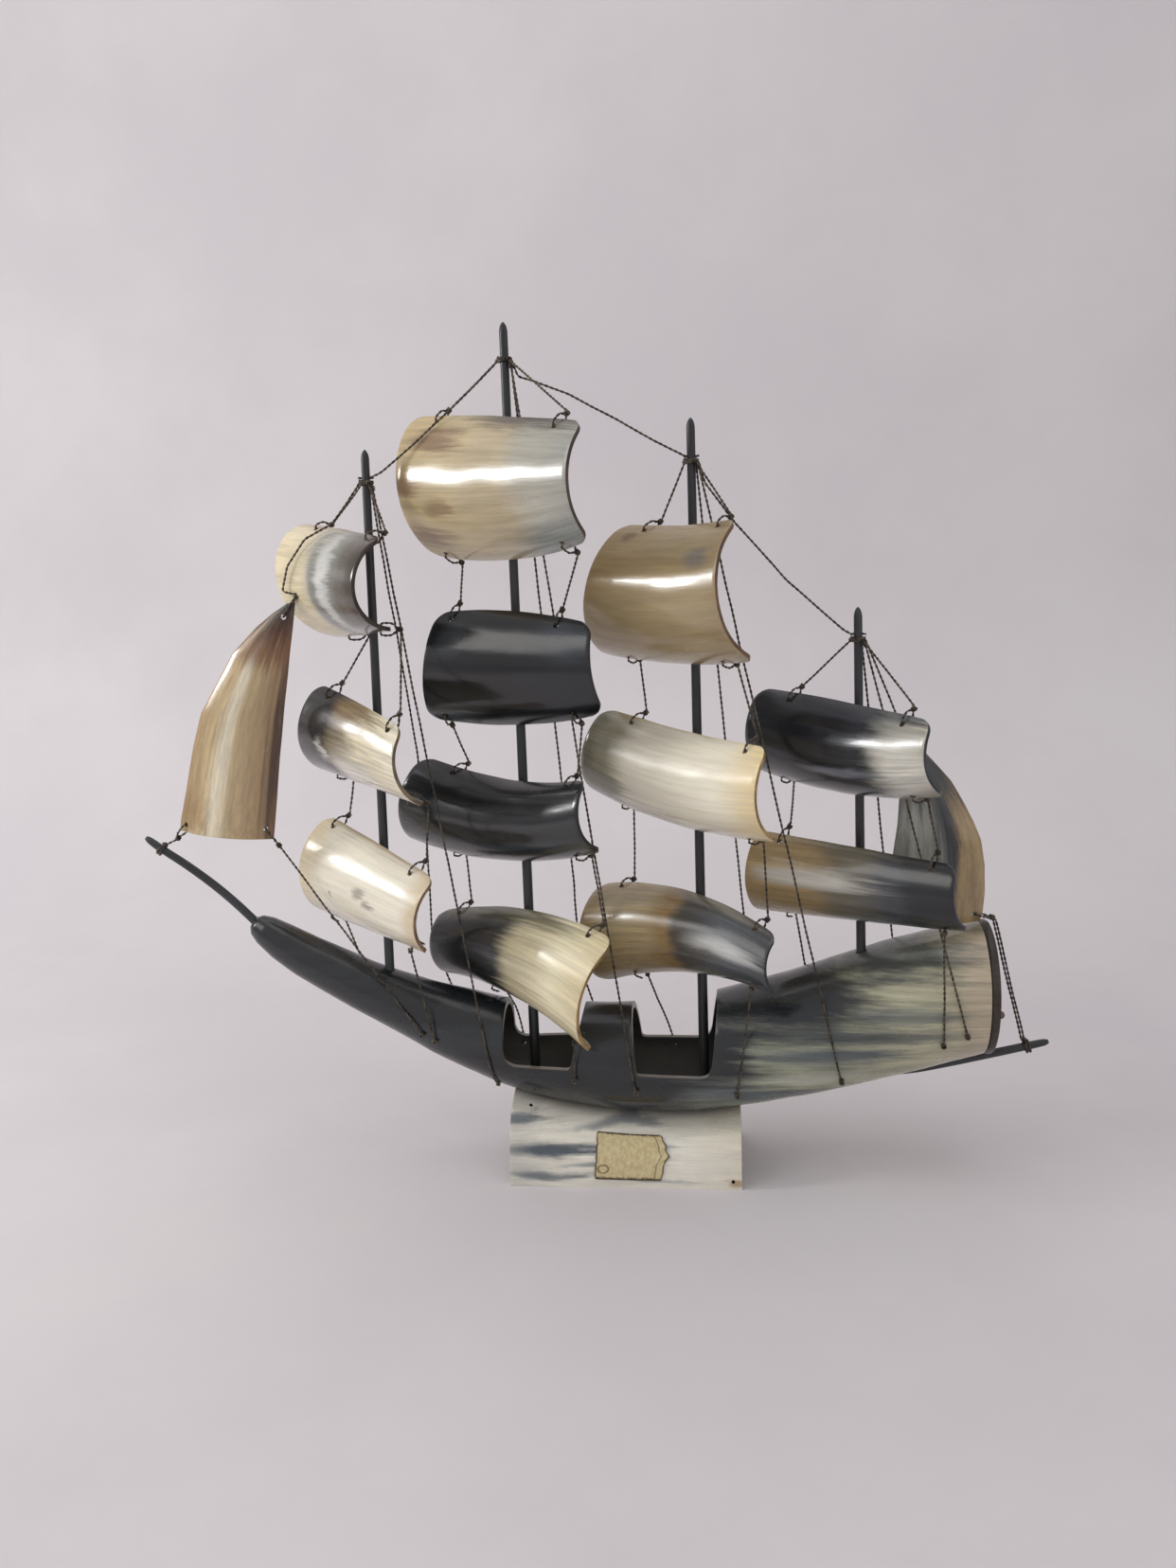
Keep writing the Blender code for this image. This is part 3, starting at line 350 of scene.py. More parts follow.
def loop_round(centre, axis, radius, towards):
    """A ring of wire round a spar, open by a little, that starts on the side of towards."""
    axis = Vector(axis).normalized()
    u = Vector(towards) - Vector(centre)
    u = (u - axis * u.dot(axis)).normalized()
    v = axis.cross(u)
    turns = [math.radians(30 * k) for k in range(11)]
    return [Vector(centre) + (u * math.cos(t) + v * math.sin(t)) * radius for t in turns]


# ---- from the design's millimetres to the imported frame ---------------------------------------
def frame_shift():
    """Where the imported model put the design's origin, read from the main mast."""
    low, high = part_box("main_mast")
    foot = mast_point("main", MASTS["main"][1]) * MM
    return Vector(((low.x + high.x) / 2 - foot.x, (low.y + high.y) / 2, 0.0))


SHIFT = frame_shift()


def placed(point):
    return Vector(point) * MM + SHIFT


def rides_on(node):
    for body, members in frame["record"]["behaviour"]["bodies"].items():
        if node in members:
            return body
    raise ValueError("no body holds " + node)


def finish_piece(ob, node):
    """Hang a finished piece on its body, in place of its CAD node."""
    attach(ob, rides_on(node))
    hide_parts(node)
    return ob


# ---- mesh tools ------------------------------------------------------------------------------
def link(ob):
    bpy.context.scene.collection.objects.link(ob)
    return ob


def baked(ob):
    """The object with its modifiers worked out into its mesh."""
    bpy.context.view_layer.update()
    depsgraph = bpy.context.evaluated_depsgraph_get()
    mesh = bpy.data.meshes.new_from_object(ob.evaluated_get(depsgraph), depsgraph=depsgraph)
    ob.modifiers.clear()
    old = ob.data
    ob.data = mesh
    mesh.name = ob.name
    bpy.data.meshes.remove(old)
    return ob


def smooth(ob, angle=38):
    ob.data.shade_smooth()
    ob.data.set_sharp_from_angle(angle=math.radians(angle))
    return ob


def grid_object(name, columns, rows, place, mats, closed=False):
    """A surface whose points place(u, v) gives in design millimetres, with u and v as its UV map."""
    bm = bmesh.new()
    bm.loops.layers.uv.new("UVMap")
    bmesh.ops.create_grid(bm, x_segments=columns - 1, y_segments=rows - 1, size=0.5, calc_uvs=True)
    for vert in bm.verts:
        vert.co = placed(place(vert.co.x + 0.5, vert.co.y + 0.5))
    if closed:
        bmesh.ops.remove_doubles(bm, verts=bm.verts, dist=1e-6)
    mesh = bpy.data.meshes.new(name)
    bm.to_mesh(mesh)
    bm.free()
    for mat in mats:
        mesh.materials.append(mat)
    return link(bpy.data.objects.new(name, mesh))


def rim_horn(name, code):
    """The cut edge of a horn piece: its own colour, a little duller and grained."""
    shade = "".join("%02X" % int(int(code[i:i + 2], 16) * 0.7) for i in (0, 2, 4))
    return plain(name, code, shade, 0.32, 0.0, 130, 0.3)


def thicken(ob, thickness, rim=0.7, segments=2):
    solid = ob.modifiers.new("thickness", "SOLIDIFY")
    solid.thickness = thickness * MM
    solid.offset = -1.0
    solid.use_even_offset = True
    solid.material_offset_rim = len(ob.data.materials) - 1
    if rim:
        edge = ob.modifiers.new("rim", "BEVEL")
        edge.width = rim * MM
        edge.segments = segments
        edge.limit_method = "ANGLE"
        edge.angle_limit = math.radians(50)
    return baked(ob)


def cut(ob, tool, operation="DIFFERENCE"):
    mod = ob.modifiers.new("cut", "BOOLEAN")
    mod.operation = operation
    mod.solver = "EXACT"
    mod.material_mode = "TRANSFER"
    mod.object = tool
    baked(ob)
    bpy.data.objects.remove(tool, do_unlink=True)
    return ob


def rod(name, points, radii, mat, resolution=6):
    """A round rod through design points, with closed ends."""
    curve = bpy.data.curves.new(name, "CURVE")
    curve.dimensions = "3D"
    curve.bevel_depth = MM
    curve.bevel_resolution = resolution
    curve.use_fill_caps = True
    spline = curve.splines.new("POLY")
    spline.points.add(len(points) - 1)
    if isinstance(radii, (int, float)):
        radii = [radii] * len(points)
    for point, place, radius in zip(spline.points, points, radii):
        point.co = (*placed(place), 1.0)
        point.radius = radius
    curve.materials.append(mat)
    shape = link(bpy.data.objects.new(name, curve))
    bpy.context.view_layer.update()
    mesh = bpy.data.meshes.new_from_object(shape)
    bpy.data.objects.remove(shape, do_unlink=True)
    bm = bmesh.new()
    bm.from_mesh(mesh)
    bmesh.ops.remove_doubles(bm, verts=bm.verts, dist=1e-6)
    bmesh.ops.recalc_face_normals(bm, faces=bm.faces)
    bm.to_mesh(mesh)
    bm.free()
    return link(bpy.data.objects.new(name, mesh))


def joined(name, parts):
    """Several pieces as one mesh object."""
    mats, bm = [], bmesh.new()
    for part in parts:
        for mat in part.data.materials:
            if mat not in mats:
                mats.append(mat)
        remap = [mats.index(mat) for mat in part.data.materials]
        for poly in part.data.polygons:
            poly.material_index = remap[poly.material_index]
        bm.from_mesh(part.data)
    mesh = bpy.data.meshes.new(name)
    bm.to_mesh(mesh)
    bm.free()
    for mat in mats:
        mesh.materials.append(mat)
    for part in parts:
        bpy.data.objects.remove(part, do_unlink=True)
    return link(bpy.data.objects.new(name, mesh))


# ---- materials -------------------------------------------------------------------------------
def rgb(code):
    """A linear colour from a hex code."""
    parts = [int(code[i:i + 2], 16) / 255 for i in (0, 2, 4)]
    return (*[c / 12.92 if c <= 0.04045 else ((c + 0.055) / 1.055) ** 2.4 for c in parts], 1.0)


class Nodes:
    """Short calls for building one material's node tree."""

    def __init__(self, name):
        self.mat = bpy.data.materials.new(name)
        self.mat.use_nodes = True
        self.tree = self.mat.node_tree
        self.bsdf = self.tree.nodes["Principled BSDF"]

    def put(self, socket, value):
        if isinstance(value, bpy.types.NodeSocket):
            self.tree.links.new(value, socket)
        else:
            socket.default_value = value

    def add(self, kind, inputs=(), **settings):
        node = self.tree.nodes.new(kind)
        for key, value in settings.items():
            setattr(node, key, value)
        for key, value in dict(inputs).items():
            self.put(node.inputs[key], value)
        return node

    def math(self, operation, a, b=0.0, clamp=False):
        return self.add("ShaderNodeMath", {0: a, 1: b}, operation=operation, use_clamp=clamp).outputs[0]

    def noise(self, vector, scale, detail=3.0, rough=0.55):
        settings = {"Vector": vector, "Scale": scale, "Detail": detail, "Roughness": rough}
        return self.add("ShaderNodeTexNoise", settings).outputs["Fac"]

    def scaled(self, vector, scale, shift=(0, 0, 0)):
        return self.add("ShaderNodeMapping", {"Vector": vector, "Scale": scale, "Location": shift}).outputs[0]

    def span(self, value, low, high, to_low=0.0, to_high=1.0):
        settings = {"Value": value, "From Min": low, "From Max": high, "To Min": to_low, "To Max": to_high}
        return self.add("ShaderNodeMapRange", settings, interpolation_type="SMOOTHSTEP").outputs[0]

    def mix(self, factor, a, b, blend="MIX"):
        node = self.add("ShaderNodeMix", data_type="RGBA", blend_type=blend)
        self.put(node.inputs[0], factor)
        self.put(node.inputs[6], a)
        self.put(node.inputs[7], b)
        return node.outputs[2]

    def ramp(self, factor, stops):
        node = self.add("ShaderNodeValToRGB", {"Fac": factor})
        node.color_ramp.interpolation = "EASE"
        elements = node.color_ramp.elements
        while len(elements) < len(stops):
            elements.new(0.5)
        for element, (position, code) in zip(elements, stops):
            element.position = position
            element.color = rgb(code)
        return node.outputs[0]


def horn(name, stops, marks_and_painted_light=(), streak=0.3, rough=0.2, space="uv", stretch=(1, 1), seed=0.0, warp=0.12,
         bump=0.25, glow=0.0, wear=0.0):
    """Polished horn. stops colour it along u; each patch is (u, v, half u, half v, colour, amount): the
    horn's own marks, and on some pieces painted highlights and painted shade.

    space is "uv", or (low, high) corners of the box that u and v run over along x and z.
    """
    n = Nodes(name)
    if space == "uv":
        flat = n.add("ShaderNodeUVMap", uv_map="UVMap").outputs[0]
    else:
        (x0, z0), (x1, z1) = space
        place = n.add("ShaderNodeTexCoord").outputs["Object"]
        split = n.add("ShaderNodeSeparateXYZ", {0: place})
        u = n.math("DIVIDE", n.math("SUBTRACT", split.outputs[0], x0), x1 - x0)
        v = n.math("DIVIDE", n.math("SUBTRACT", split.outputs[2], z0), z1 - z0)
        flat = n.add("ShaderNodeCombineXYZ", {0: u, 1: v,
                                              2: n.math("MULTIPLY", split.outputs[1], 8.0)}).outputs[0]
    su, sv = stretch
    wide = n.scaled(flat, (2.2 * su, 3.2 * sv, 1), (seed, seed * 0.7, seed))
    bend = n.math("SUBTRACT", n.noise(wide, 1.0, 4.0), 0.5)
    fibre = n.noise(n.scaled(flat, (2.2 * su, 30 * sv, 6), (seed, 0, seed)), 1.0, 7.0, 0.68)
    fine = n.noise(n.scaled(flat, (5 * su, 170 * sv, 12), (0, seed, 0)), 1.0, 4.0, 0.7)
    ragged = n.math("MULTIPLY", n.math("SUBTRACT", fibre, 0.5), warp * 1.4)
    push = n.math("ADD", n.math("MULTIPLY", bend, warp * 2.2), ragged)
    moved = n.add("ShaderNodeVectorMath", {0: flat, 1: n.add("ShaderNodeCombineXYZ", {0: push, 1: n.math(
        "MULTIPLY", bend, warp)}).outputs[0]}, operation="ADD").outputs[0]
    split = n.add("ShaderNodeSeparateXYZ", {0: moved})
    color = n.ramp(split.outputs[0], stops)
    # each patch is mixed in over the colour: the horn's own marks, and on some pieces painted highlights and
    # painted shade
    for bu, bv, hu, hv, code, amount in marks_and_painted_light:
        offset = n.add("ShaderNodeVectorMath", {0: moved, 1: (bu, bv, 0)}, operation="SUBTRACT").outputs[0]
        shape = n.add("ShaderNodeVectorMath", {0: offset, 1: (1 / hu, 1 / hv, 0)},
                      operation="MULTIPLY").outputs[0]
        reach = n.add("ShaderNodeVectorMath", {0: shape}, operation="LENGTH").outputs["Value"]
        reach = n.math("ADD", reach, n.math("MULTIPLY", n.math("SUBTRACT", fibre, 0.5), 1.5))
        color = n.mix(n.span(reach, 1.35, 0.35, 0.0, amount), color, rgb(code))
    grain = n.span(fibre, 0.3, 0.72, 1.0 - streak, 1.0 + streak * 0.55)
    color = n.mix(1.0, color, n.add("ShaderNodeCombineColor", {0: grain, 1: grain, 2: grain}).outputs[0],
                  "MULTIPLY")
    hairs = n.span(fine, 0.35, 0.7, 1.0 - streak * 0.4, 1.0 + streak * 0.2)
    color = n.mix(1.0, color, n.add("ShaderNodeCombineColor", {0: hairs, 1: hairs, 2: hairs}).outputs[0],
                  "MULTIPLY")
    n.put(n.bsdf.inputs["Base Color"], color)
    object_space = n.add("ShaderNodeTexCoord").outputs["Object"]
    cloud = n.noise(n.scaled(object_space, (28, 28, 28), (seed, 0, 0)), 1.0, 5.0, 0.6)
    gloss = n.math("ADD", n.span(cloud, 0.3, 0.75, rough * 0.7, rough * 1.5),
                   n.math("MULTIPLY", fine, 0.08 + wear))
    n.put(n.bsdf.inputs["Roughness"], gloss)
    n.put(n.bsdf.inputs["IOR"], 1.54)
    n.put(n.bsdf.inputs["Coat Weight"], 0.35)
    n.put(n.bsdf.inputs["Coat Roughness"], 0.1)
    if glow:
        n.put(n.bsdf.inputs["Subsurface Weight"], glow)
        n.put(n.bsdf.inputs["Subsurface Radius"], (0.006, 0.004, 0.002))
        n.put(n.bsdf.inputs["Subsurface Scale"], 0.5)
    height = n.math("ADD", n.math("MULTIPLY", fine, 0.25),
                    n.math("ADD", n.math("MULTIPLY", fibre, 0.4), cloud))
    rise = n.add("ShaderNodeBump", {"Height": height, "Strength": bump, "Distance": 0.0006}).outputs[0]
    n.put(n.bsdf.inputs["Normal"], rise)
    return n.mat


def plain(name, code, other, rough=0.5, metal=0.0, scale=60.0, bump=0.3, stretch=(1, 1, 1), depth=0.0004):
    """A worn even surface: two colours mixed by noise, with matching roughness and bump."""
    n = Nodes(name)
    place = n.scaled(n.add("ShaderNodeTexCoord").outputs["Object"], stretch)
    patch = n.noise(place, scale, 5.0, 0.6)
    fine = n.noise(place, scale * 9, 3.0, 0.6)
    n.put(n.bsdf.inputs["Base Color"], n.mix(n.span(patch, 0.35, 0.68), rgb(code), rgb(other)))
    n.put(n.bsdf.inputs["Roughness"], n.span(n.math("ADD", patch, n.math("MULTIPLY", fine, 0.4)), 0.4, 1.0,
                                            rough * 0.75, rough * 1.25))
    n.put(n.bsdf.inputs["Metallic"], metal)
    height = n.math("ADD", patch, n.math("MULTIPLY", fine, 0.5))
    n.put(n.bsdf.inputs["Normal"],
          n.add("ShaderNodeBump", {"Height": height, "Strength": bump, "Distance": depth}).outputs[0])
    return n.mat


# colours of each sail: stops along its width from left to right, and patches on it; the near-white patches on
# f2, n3, z1 and z2 are painted highlights
SAIL_LOOKS = {
    "f1": dict(stops=[(0.0, "F0E2BC"), (0.3, "E6D9B6"), (0.5, "B5B3A6"), (0.68, "8F8F86"),
                      (0.85, "6B655A"), (1.0, "4A4036")],
               marks_and_painted_light=[(0.62, 0.52, 0.09, 0.36, "E3E4DE", 0.8), (0.48, 0.4, 0.07, 0.4, "77787A", 0.6),
                      (0.3, 0.96, 0.4, 0.1, "A98F68", 0.7), (0.5, 0.03, 0.5, 0.12, "8C7452", 0.75)],
               streak=0.2, glow=0.12, rim="4A4036"),
    "f2": dict(stops=[(0.0, "4A4743"), (0.3, "2F2E30"), (0.5, "8C8068"), (0.68, "E6DBBB"), (1.0, "EFE6CC")],
               marks_and_painted_light=[(0.5, 0.84, 0.24, 0.16, "8F7753", 0.8), (0.55, 0.3, 0.22, 0.26, "ECE7DA", 0.9),
                      # the near-white D8D5CA patch on the next line is a painted highlight
                      (0.3, 0.5, 0.07, 0.10, "D8D5CA", 0.8), (0.6, 0.05, 0.4, 0.1, "5A5A58", 0.8),
                      (0.2, 0.25, 0.12, 0.12, "2A2A2C", 0.8)], streak=0.35, glow=0.06, warp=0.2,
                      rim="8C7C60"),
    "f3": dict(stops=[(0.0, "EBDDB8"), (0.25, "F6EFDB"), (0.85, "F4EDDA"), (1.0, "DDCBAA")],
               marks_and_painted_light=[(0.5, 1.0, 0.6, 0.1, "A68B66", 0.75), (0.55, 0.52, 0.05, 0.05, "8C8678", 0.7),
                      (0.62, 0.46, 0.03, 0.04, "5D564C", 0.6), (0.3, 0.42, 0.02, 0.03, "5D564C", 0.5)],
               streak=0.13, glow=0.14, rim="A08468"),
    "m1": dict(stops=[(0.0, "C9B488"), (0.3, "CDBB94"), (0.6, "C4B596"), (0.78, "B9B5A6"), (1.0, "A8A79E")],
               marks_and_painted_light=[(0.68, 0.95, 0.42, 0.13, "4C463F", 0.9), (0.2, 0.74, 0.17, 0.07, "80604A", 0.7),
                      (0.05, 0.52, 0.1, 0.06, "80604A", 0.6), (0.27, 0.43, 0.08, 0.05, "8C6E4E", 0.6),
                      (0.1, 0.27, 0.16, 0.07, "80604A", 0.65), (0.85, 0.15, 0.3, 0.16, "8F9795", 0.7)],
               streak=0.2, glow=0.05, warp=0.16, rim="5A4C40"),
    "m2": dict(stops=[(0.0, "1B1D20"), (0.4, "0E1013"), (1.0, "14181E")],
               marks_and_painted_light=[(0.14, 0.72, 0.12, 0.14, "50565B", 0.5), (0.14, 0.12, 0.18, 0.12, "5A6063", 0.6),
                      (0.85, 0.75, 0.16, 0.2, "3C444E", 0.6)], streak=0.4, rough=0.12, rim="24262A"),
    "m3": dict(stops=[(0.0, "2A2D2F"), (0.4, "17191B"), (1.0, "1C2023")],
               marks_and_painted_light=[(0.08, 0.35, 0.14, 0.25, "4E5558", 0.5), (0.5, 0.66, 0.6, 0.04, "33383B", 0.6),
                      (0.6, 0.35, 0.5, 0.04, "3A3F42", 0.6)], streak=0.5, rough=0.18, rim="24262A"),
    "m4": dict(stops=[(0.0, "3A3C3A"), (0.3, "202224"), (0.44, "3A3B3A"), (0.58, "D5CAA6"),
                      (0.8, "F0E6C2"), (1.0, "E8D9AE")],
               marks_and_painted_light=[(0.4, 0.93, 0.42, 0.16, "77745F", 0.85), (0.3, 0.36, 0.16, 0.22, "17181A", 0.8)],
               streak=0.22, glow=0.07, rim="B08E5C"),
    "n1": dict(stops=[(0.0, "AC9468"), (0.4, "B19C74"), (0.75, "AB9872"), (1.0, "A38F6C")],
               marks_and_painted_light=[(0.14, 0.8, 0.07, 0.03, "6A5238", 0.6), (0.82, 0.68, 0.1, 0.05, "6E7278", 0.6),
                      (0.5, 0.05, 0.5, 0.05, "8A734F", 0.5), (0.4, 0.5, 0.5, 0.12, "BCA880", 0.4)],
               streak=0.16, glow=0.04, rim="7A5C40"),
    "n2": dict(stops=[(0.0, "7F7C68"), (0.14, "A8A38B"), (0.3, "F3EDDA"), (0.75, "FAF3DE"), (1.0, "EEDAAA")],
               marks_and_painted_light=[(0.12, 0.25, 0.16, 0.25, "77745F", 0.7), (0.38, 0.16, 0.2, 0.16, "ACA68F", 0.7),
                      (0.5, 1.0, 0.6, 0.08, "C9B48A", 0.7)], streak=0.12, glow=0.14, rim="C4A06A"),
    "n3": dict(stops=[(0.0, "AF986C"), (0.35, "B8A47E"), (0.48, "9A805A"), (0.56, "54504A"),
                      (0.75, "55595E"), (1.0, "3A3D40")],
               # the near-white DCDCD8 patch on the next line is a painted highlight
               marks_and_painted_light=[(0.2, 0.66, 0.14, 0.16, "C9BC9E", 0.6), (0.78, 0.5, 0.18, 0.1, "DCDCD8", 0.85),
                      (0.7, 0.93, 0.26, 0.1, "8A826C", 0.8), (0.68, 0.12, 0.2, 0.14, "8C8878", 0.6)],
               streak=0.3, glow=0.03, rim="3A3D40"),
    "z1": dict(stops=[(0.0, "20262E"), (0.35, "14181E"), (0.6, "262B34"), (0.8, "8C8C84"), (1.0, "B0AC9C")],
               # the near-white EBE8DC patch on the next line is a painted highlight
               marks_and_painted_light=[(0.88, 0.45, 0.18, 0.36, "EBE8DC", 0.9), (0.52, 0.42, 0.22, 0.05, "9298A0", 0.7),
                      (0.7, 0.04, 0.36, 0.1, "A9A78C", 0.85), (0.9, 0.93, 0.2, 0.08, "3A4048", 0.8)],
               streak=0.38, rough=0.15, warp=0.18, rim="3A3D40"),
    "z2": dict(stops=[(0.0, "BFA679"), (0.3, "B49C72"), (0.5, "7C7666"), (0.7, "3C4046"),
                      (0.82, "14171C"), (1.0, "101216")],
               # the near-white E9E6DA stripe on the next line is a painted highlight
               marks_and_painted_light=[(0.35, 0.62, 0.3, 0.09, "E9E6DA", 0.85), (0.6, 0.2, 0.2, 0.08, "8A8F90", 0.7),
                      (0.5, 0.95, 0.3, 0.08, "6C6754", 0.7)], streak=0.25, rim="14171C"),
}


def look_of(spec):
    """Spec of a sail's look with the defaults that most sails share."""
    look = {"rough": 0.17, "stretch": (1, 1), **spec}
    rim = look.pop("rim")
    return look, rim


# ---- pieces ----------------------------------------------------------------------------------
def uneven(point, amount, size):
    """A point moved a little by smooth noise, for a hand-made surface."""
    return point + noise.noise_vector(point / size) * amount


def drill_holes(ob, ties, radius, mat):
    for centre, normal in ties:
        tool = rod("drill", [centre + normal * 5, centre - normal * 5], radius, mat, 4)
        cut(ob, tool)
    return ob


def spread(total, radius, inner):
    """Distances along a rounded side: close together in its corners, even between them."""
    ends = [radius * (1 - math.cos(math.radians(15 * k))) for k in range(7)]
    middle = [radius + (total - 2 * radius) * k / inner for k in range(1, inner)]
    return ends + middle + [total - e for e in reversed(ends)]


def build_sail(key, settings):
    total = 2 * SAILS[key][6] * math.radians(SAILS[key][7])
    half_width = SAILS[key][5] / 2
    rows = spread(total, CORNER_R, settings.detail)
    columns = settings.detail * 2

    def place(u, v):
        distance = rows[round(v * (len(rows) - 1))]
        reach = 1 - corner_inset(min(distance, total - distance)) / half_width
        point = sail_point(key, reach * (2 * u - 1), 2 * distance / total - 1)
        return uneven(point, 0.35, 22.0)

    look, rim = look_of(SAIL_LOOKS[key])
    skin = horn("horn " + key, seed=3.1 * (ord(key[0]) + ord(key[1])) % 17, **look)
    edge = rim_horn("horn rim " + key, rim)
    sail = grid_object("visual_sail_" + key, columns, len(rows), place, [skin, edge])
    thicken(sail, SHELL, 0.8)
    drill_holes(sail, [sail_tie(key, which)[:2] for which in range(4)], HOLE_R, skin)
    smooth(sail)
    finish_piece(sail, "sail_" + key)


def build_leaf(node, rows, lean, holes, look, settings):
    count = settings.detail * 2

    def place(u, v):
        point = leaf_point(rows, lean, (1 - v) * (len(rows) - 1), 2 * u - 1)
        return uneven(point, 0.3, 25.0)

    skin = horn("horn " + node, **look)
    edge = rim_horn("horn rim " + node, "5A4636")
    leaf = grid_object("visual_" + node, settings.detail + 4, count, place, [skin, edge])
    thicken(leaf, SHELL, 0.8)
    ties = [leaf_tie(rows, lean, hole, (0, 0, 0))[:2] for hole in holes.values()]
    drill_holes(leaf, ties, LEAF_HOLE_R, skin)
    smooth(leaf)
    finish_piece(leaf, node)


# the jib's cream stop at 0.42 is a painted highlight, a bright strip down the sail; its darker stops towards
# the right end are painted shade where the sail turns away from the light
JIB_LOOK = dict(stops=[(0.0, "B89C72"), (0.25, "CDB68C"), (0.42, "EDE3C8"), (0.55, "CDB68C"),
                       (0.85, "B59870"), (1.0, "8A6848")],
                marks_and_painted_light=[(0.6, 0.72, 0.7, 0.12, "7A4A2E", 0.8), (0.6, 0.84, 0.8, 0.12, "4A2A1C", 0.9),
                       # the second patch on the next line, dark 4A3322 at the right edge, is painted shade
                       (0.5, 1.0, 1.0, 0.18, "241A16", 1.0), (0.95, 0.32, 0.07, 0.3, "4A3322", 0.85),
                       (0.14, 0.12, 0.2, 0.1, "9A7A50", 0.5)],
                streak=0.26, stretch=(5, 0.1), rough=0.17, seed=4.0, warp=0.1)
SPANKER_LOOK = dict(stops=[(0.0, "8F9187"), (0.25, "B4B5AA"), (0.5, "83857E"), (0.62, "54524C"),
                           (0.75, "A58C64"), (1.0, "AD946B")],
                    marks_and_painted_light=[(0.72, 0.8, 0.5, 0.26, "23262A", 0.95), (0.62, 0.45, 0.1, 0.3, "2C3034", 0.85),
                           (0.2, 0.75, 0.3, 0.2, "4A5052", 0.6)],
                    streak=0.3, stretch=(5, 0.1), rough=0.18, seed=9.0, warp=0.1)


def hull_surface(u, v, wall, first):
    """Point on the round horn: u runs along it from station first, v once round it."""
    end = HULL[-1][0] + 12
    x = first + (end - first) * u
    z, half, _ = hull_at(min(x, HULL[-1][0]))
    slope = smooth_slope(x)
    if x > HULL[-1][0]:
        z += (x - HULL[-1][0]) * math.tan(slope)
    radius = half * math.cos(slope) - wall
    a = math.tau * v
    out = math.sin(a) * radius
    return Vector((x - out * math.sin(slope), -math.cos(a) * radius, z + out * math.cos(slope)))


SLOPE_REACH = 9.0        # how far each way the hull's slope is averaged
BORE_SLACK = 0.6         # a hull bore's radius beyond the wire's


def smooth_slope(x):
    """Slope of the hull's axis at x, averaged over a short run."""
    low, high = max(HULL[0][0], x - SLOPE_REACH), min(x + SLOPE_REACH, HULL[-1][0])
    if high <= low + 1:
        return hull_slope(len(HULL) - 1)
    return math.atan2(hull_at(high)[0] - hull_at(low)[0], high - low)


def tube_object(name, wall, first, settings, mats, rough_amount):
    columns = settings.detail * 8

    def place(u, v):
        u = 0.5 - 0.5 * math.cos(math.pi * u) if wall == 0 else u
        point = hull_surface(u, 1 - v, wall, first)
        return uneven(point, rough_amount, 30.0)

    tube = grid_object(name, columns, settings.detail * 4 + 1, place, mats, closed=True)
    bm = bmesh.new()
    bm.from_mesh(tube.data)
    bmesh.ops.holes_fill(bm, edges=[e for e in bm.edges if e.is_boundary])
    bmesh.ops.recalc_face_normals(bm, faces=bm.faces)
    bm.to_mesh(tube.data)
    bm.free()
    return tube


def outline_block(outline, half, mat):
    curve = bpy.data.curves.new("outline", "CURVE")
    curve.dimensions = "2D"
    curve.fill_mode = "BOTH"
    curve.extrude = half * MM
    spline = curve.splines.new("POLY")
    spline.points.add(len(outline) - 1)
    for point, (x, z) in zip(spline.points, outline):
        point.co = (x * MM, z * MM, 0.0, 1.0)
    spline.use_cyclic_u = True
    curve.materials.append(mat)
    shape = link(bpy.data.objects.new("outline", curve))
    bpy.context.view_layer.update()
    mesh = bpy.data.meshes.new_from_object(shape)
    bpy.data.objects.remove(shape, do_unlink=True)
    mesh.transform(Matrix.Translation(SHIFT) @ Matrix.Rotation(math.radians(90), 4, "X"))
    bm = bmesh.new()
    bm.from_mesh(mesh)
    bmesh.ops.remove_doubles(bm, verts=bm.verts, dist=1e-6)
    bmesh.ops.recalc_face_normals(bm, faces=bm.faces)
    bm.to_mesh(mesh)
    bm.free()
    return link(bpy.data.objects.new("outline", mesh))


def rounded(outline, radius):
    """The outline with its corners rounded by short arcs."""
    out = []
    for i, corner in enumerate(outline):
        before, corner = Vector(outline[i - 1]), Vector(corner)
        after = Vector(outline[(i + 1) % len(outline)])
        r = min(radius, (before - corner).length * 0.4, (after - corner).length * 0.4)
        start = corner + (before - corner).normalized() * r
        end = corner + (after - corner).normalized() * r
        for k in range(4):
            t = k / 3
            out.append(tuple(start * (1 - t) ** 2 + corner * 2 * t * (1 - t) + end * t * t))
    return out


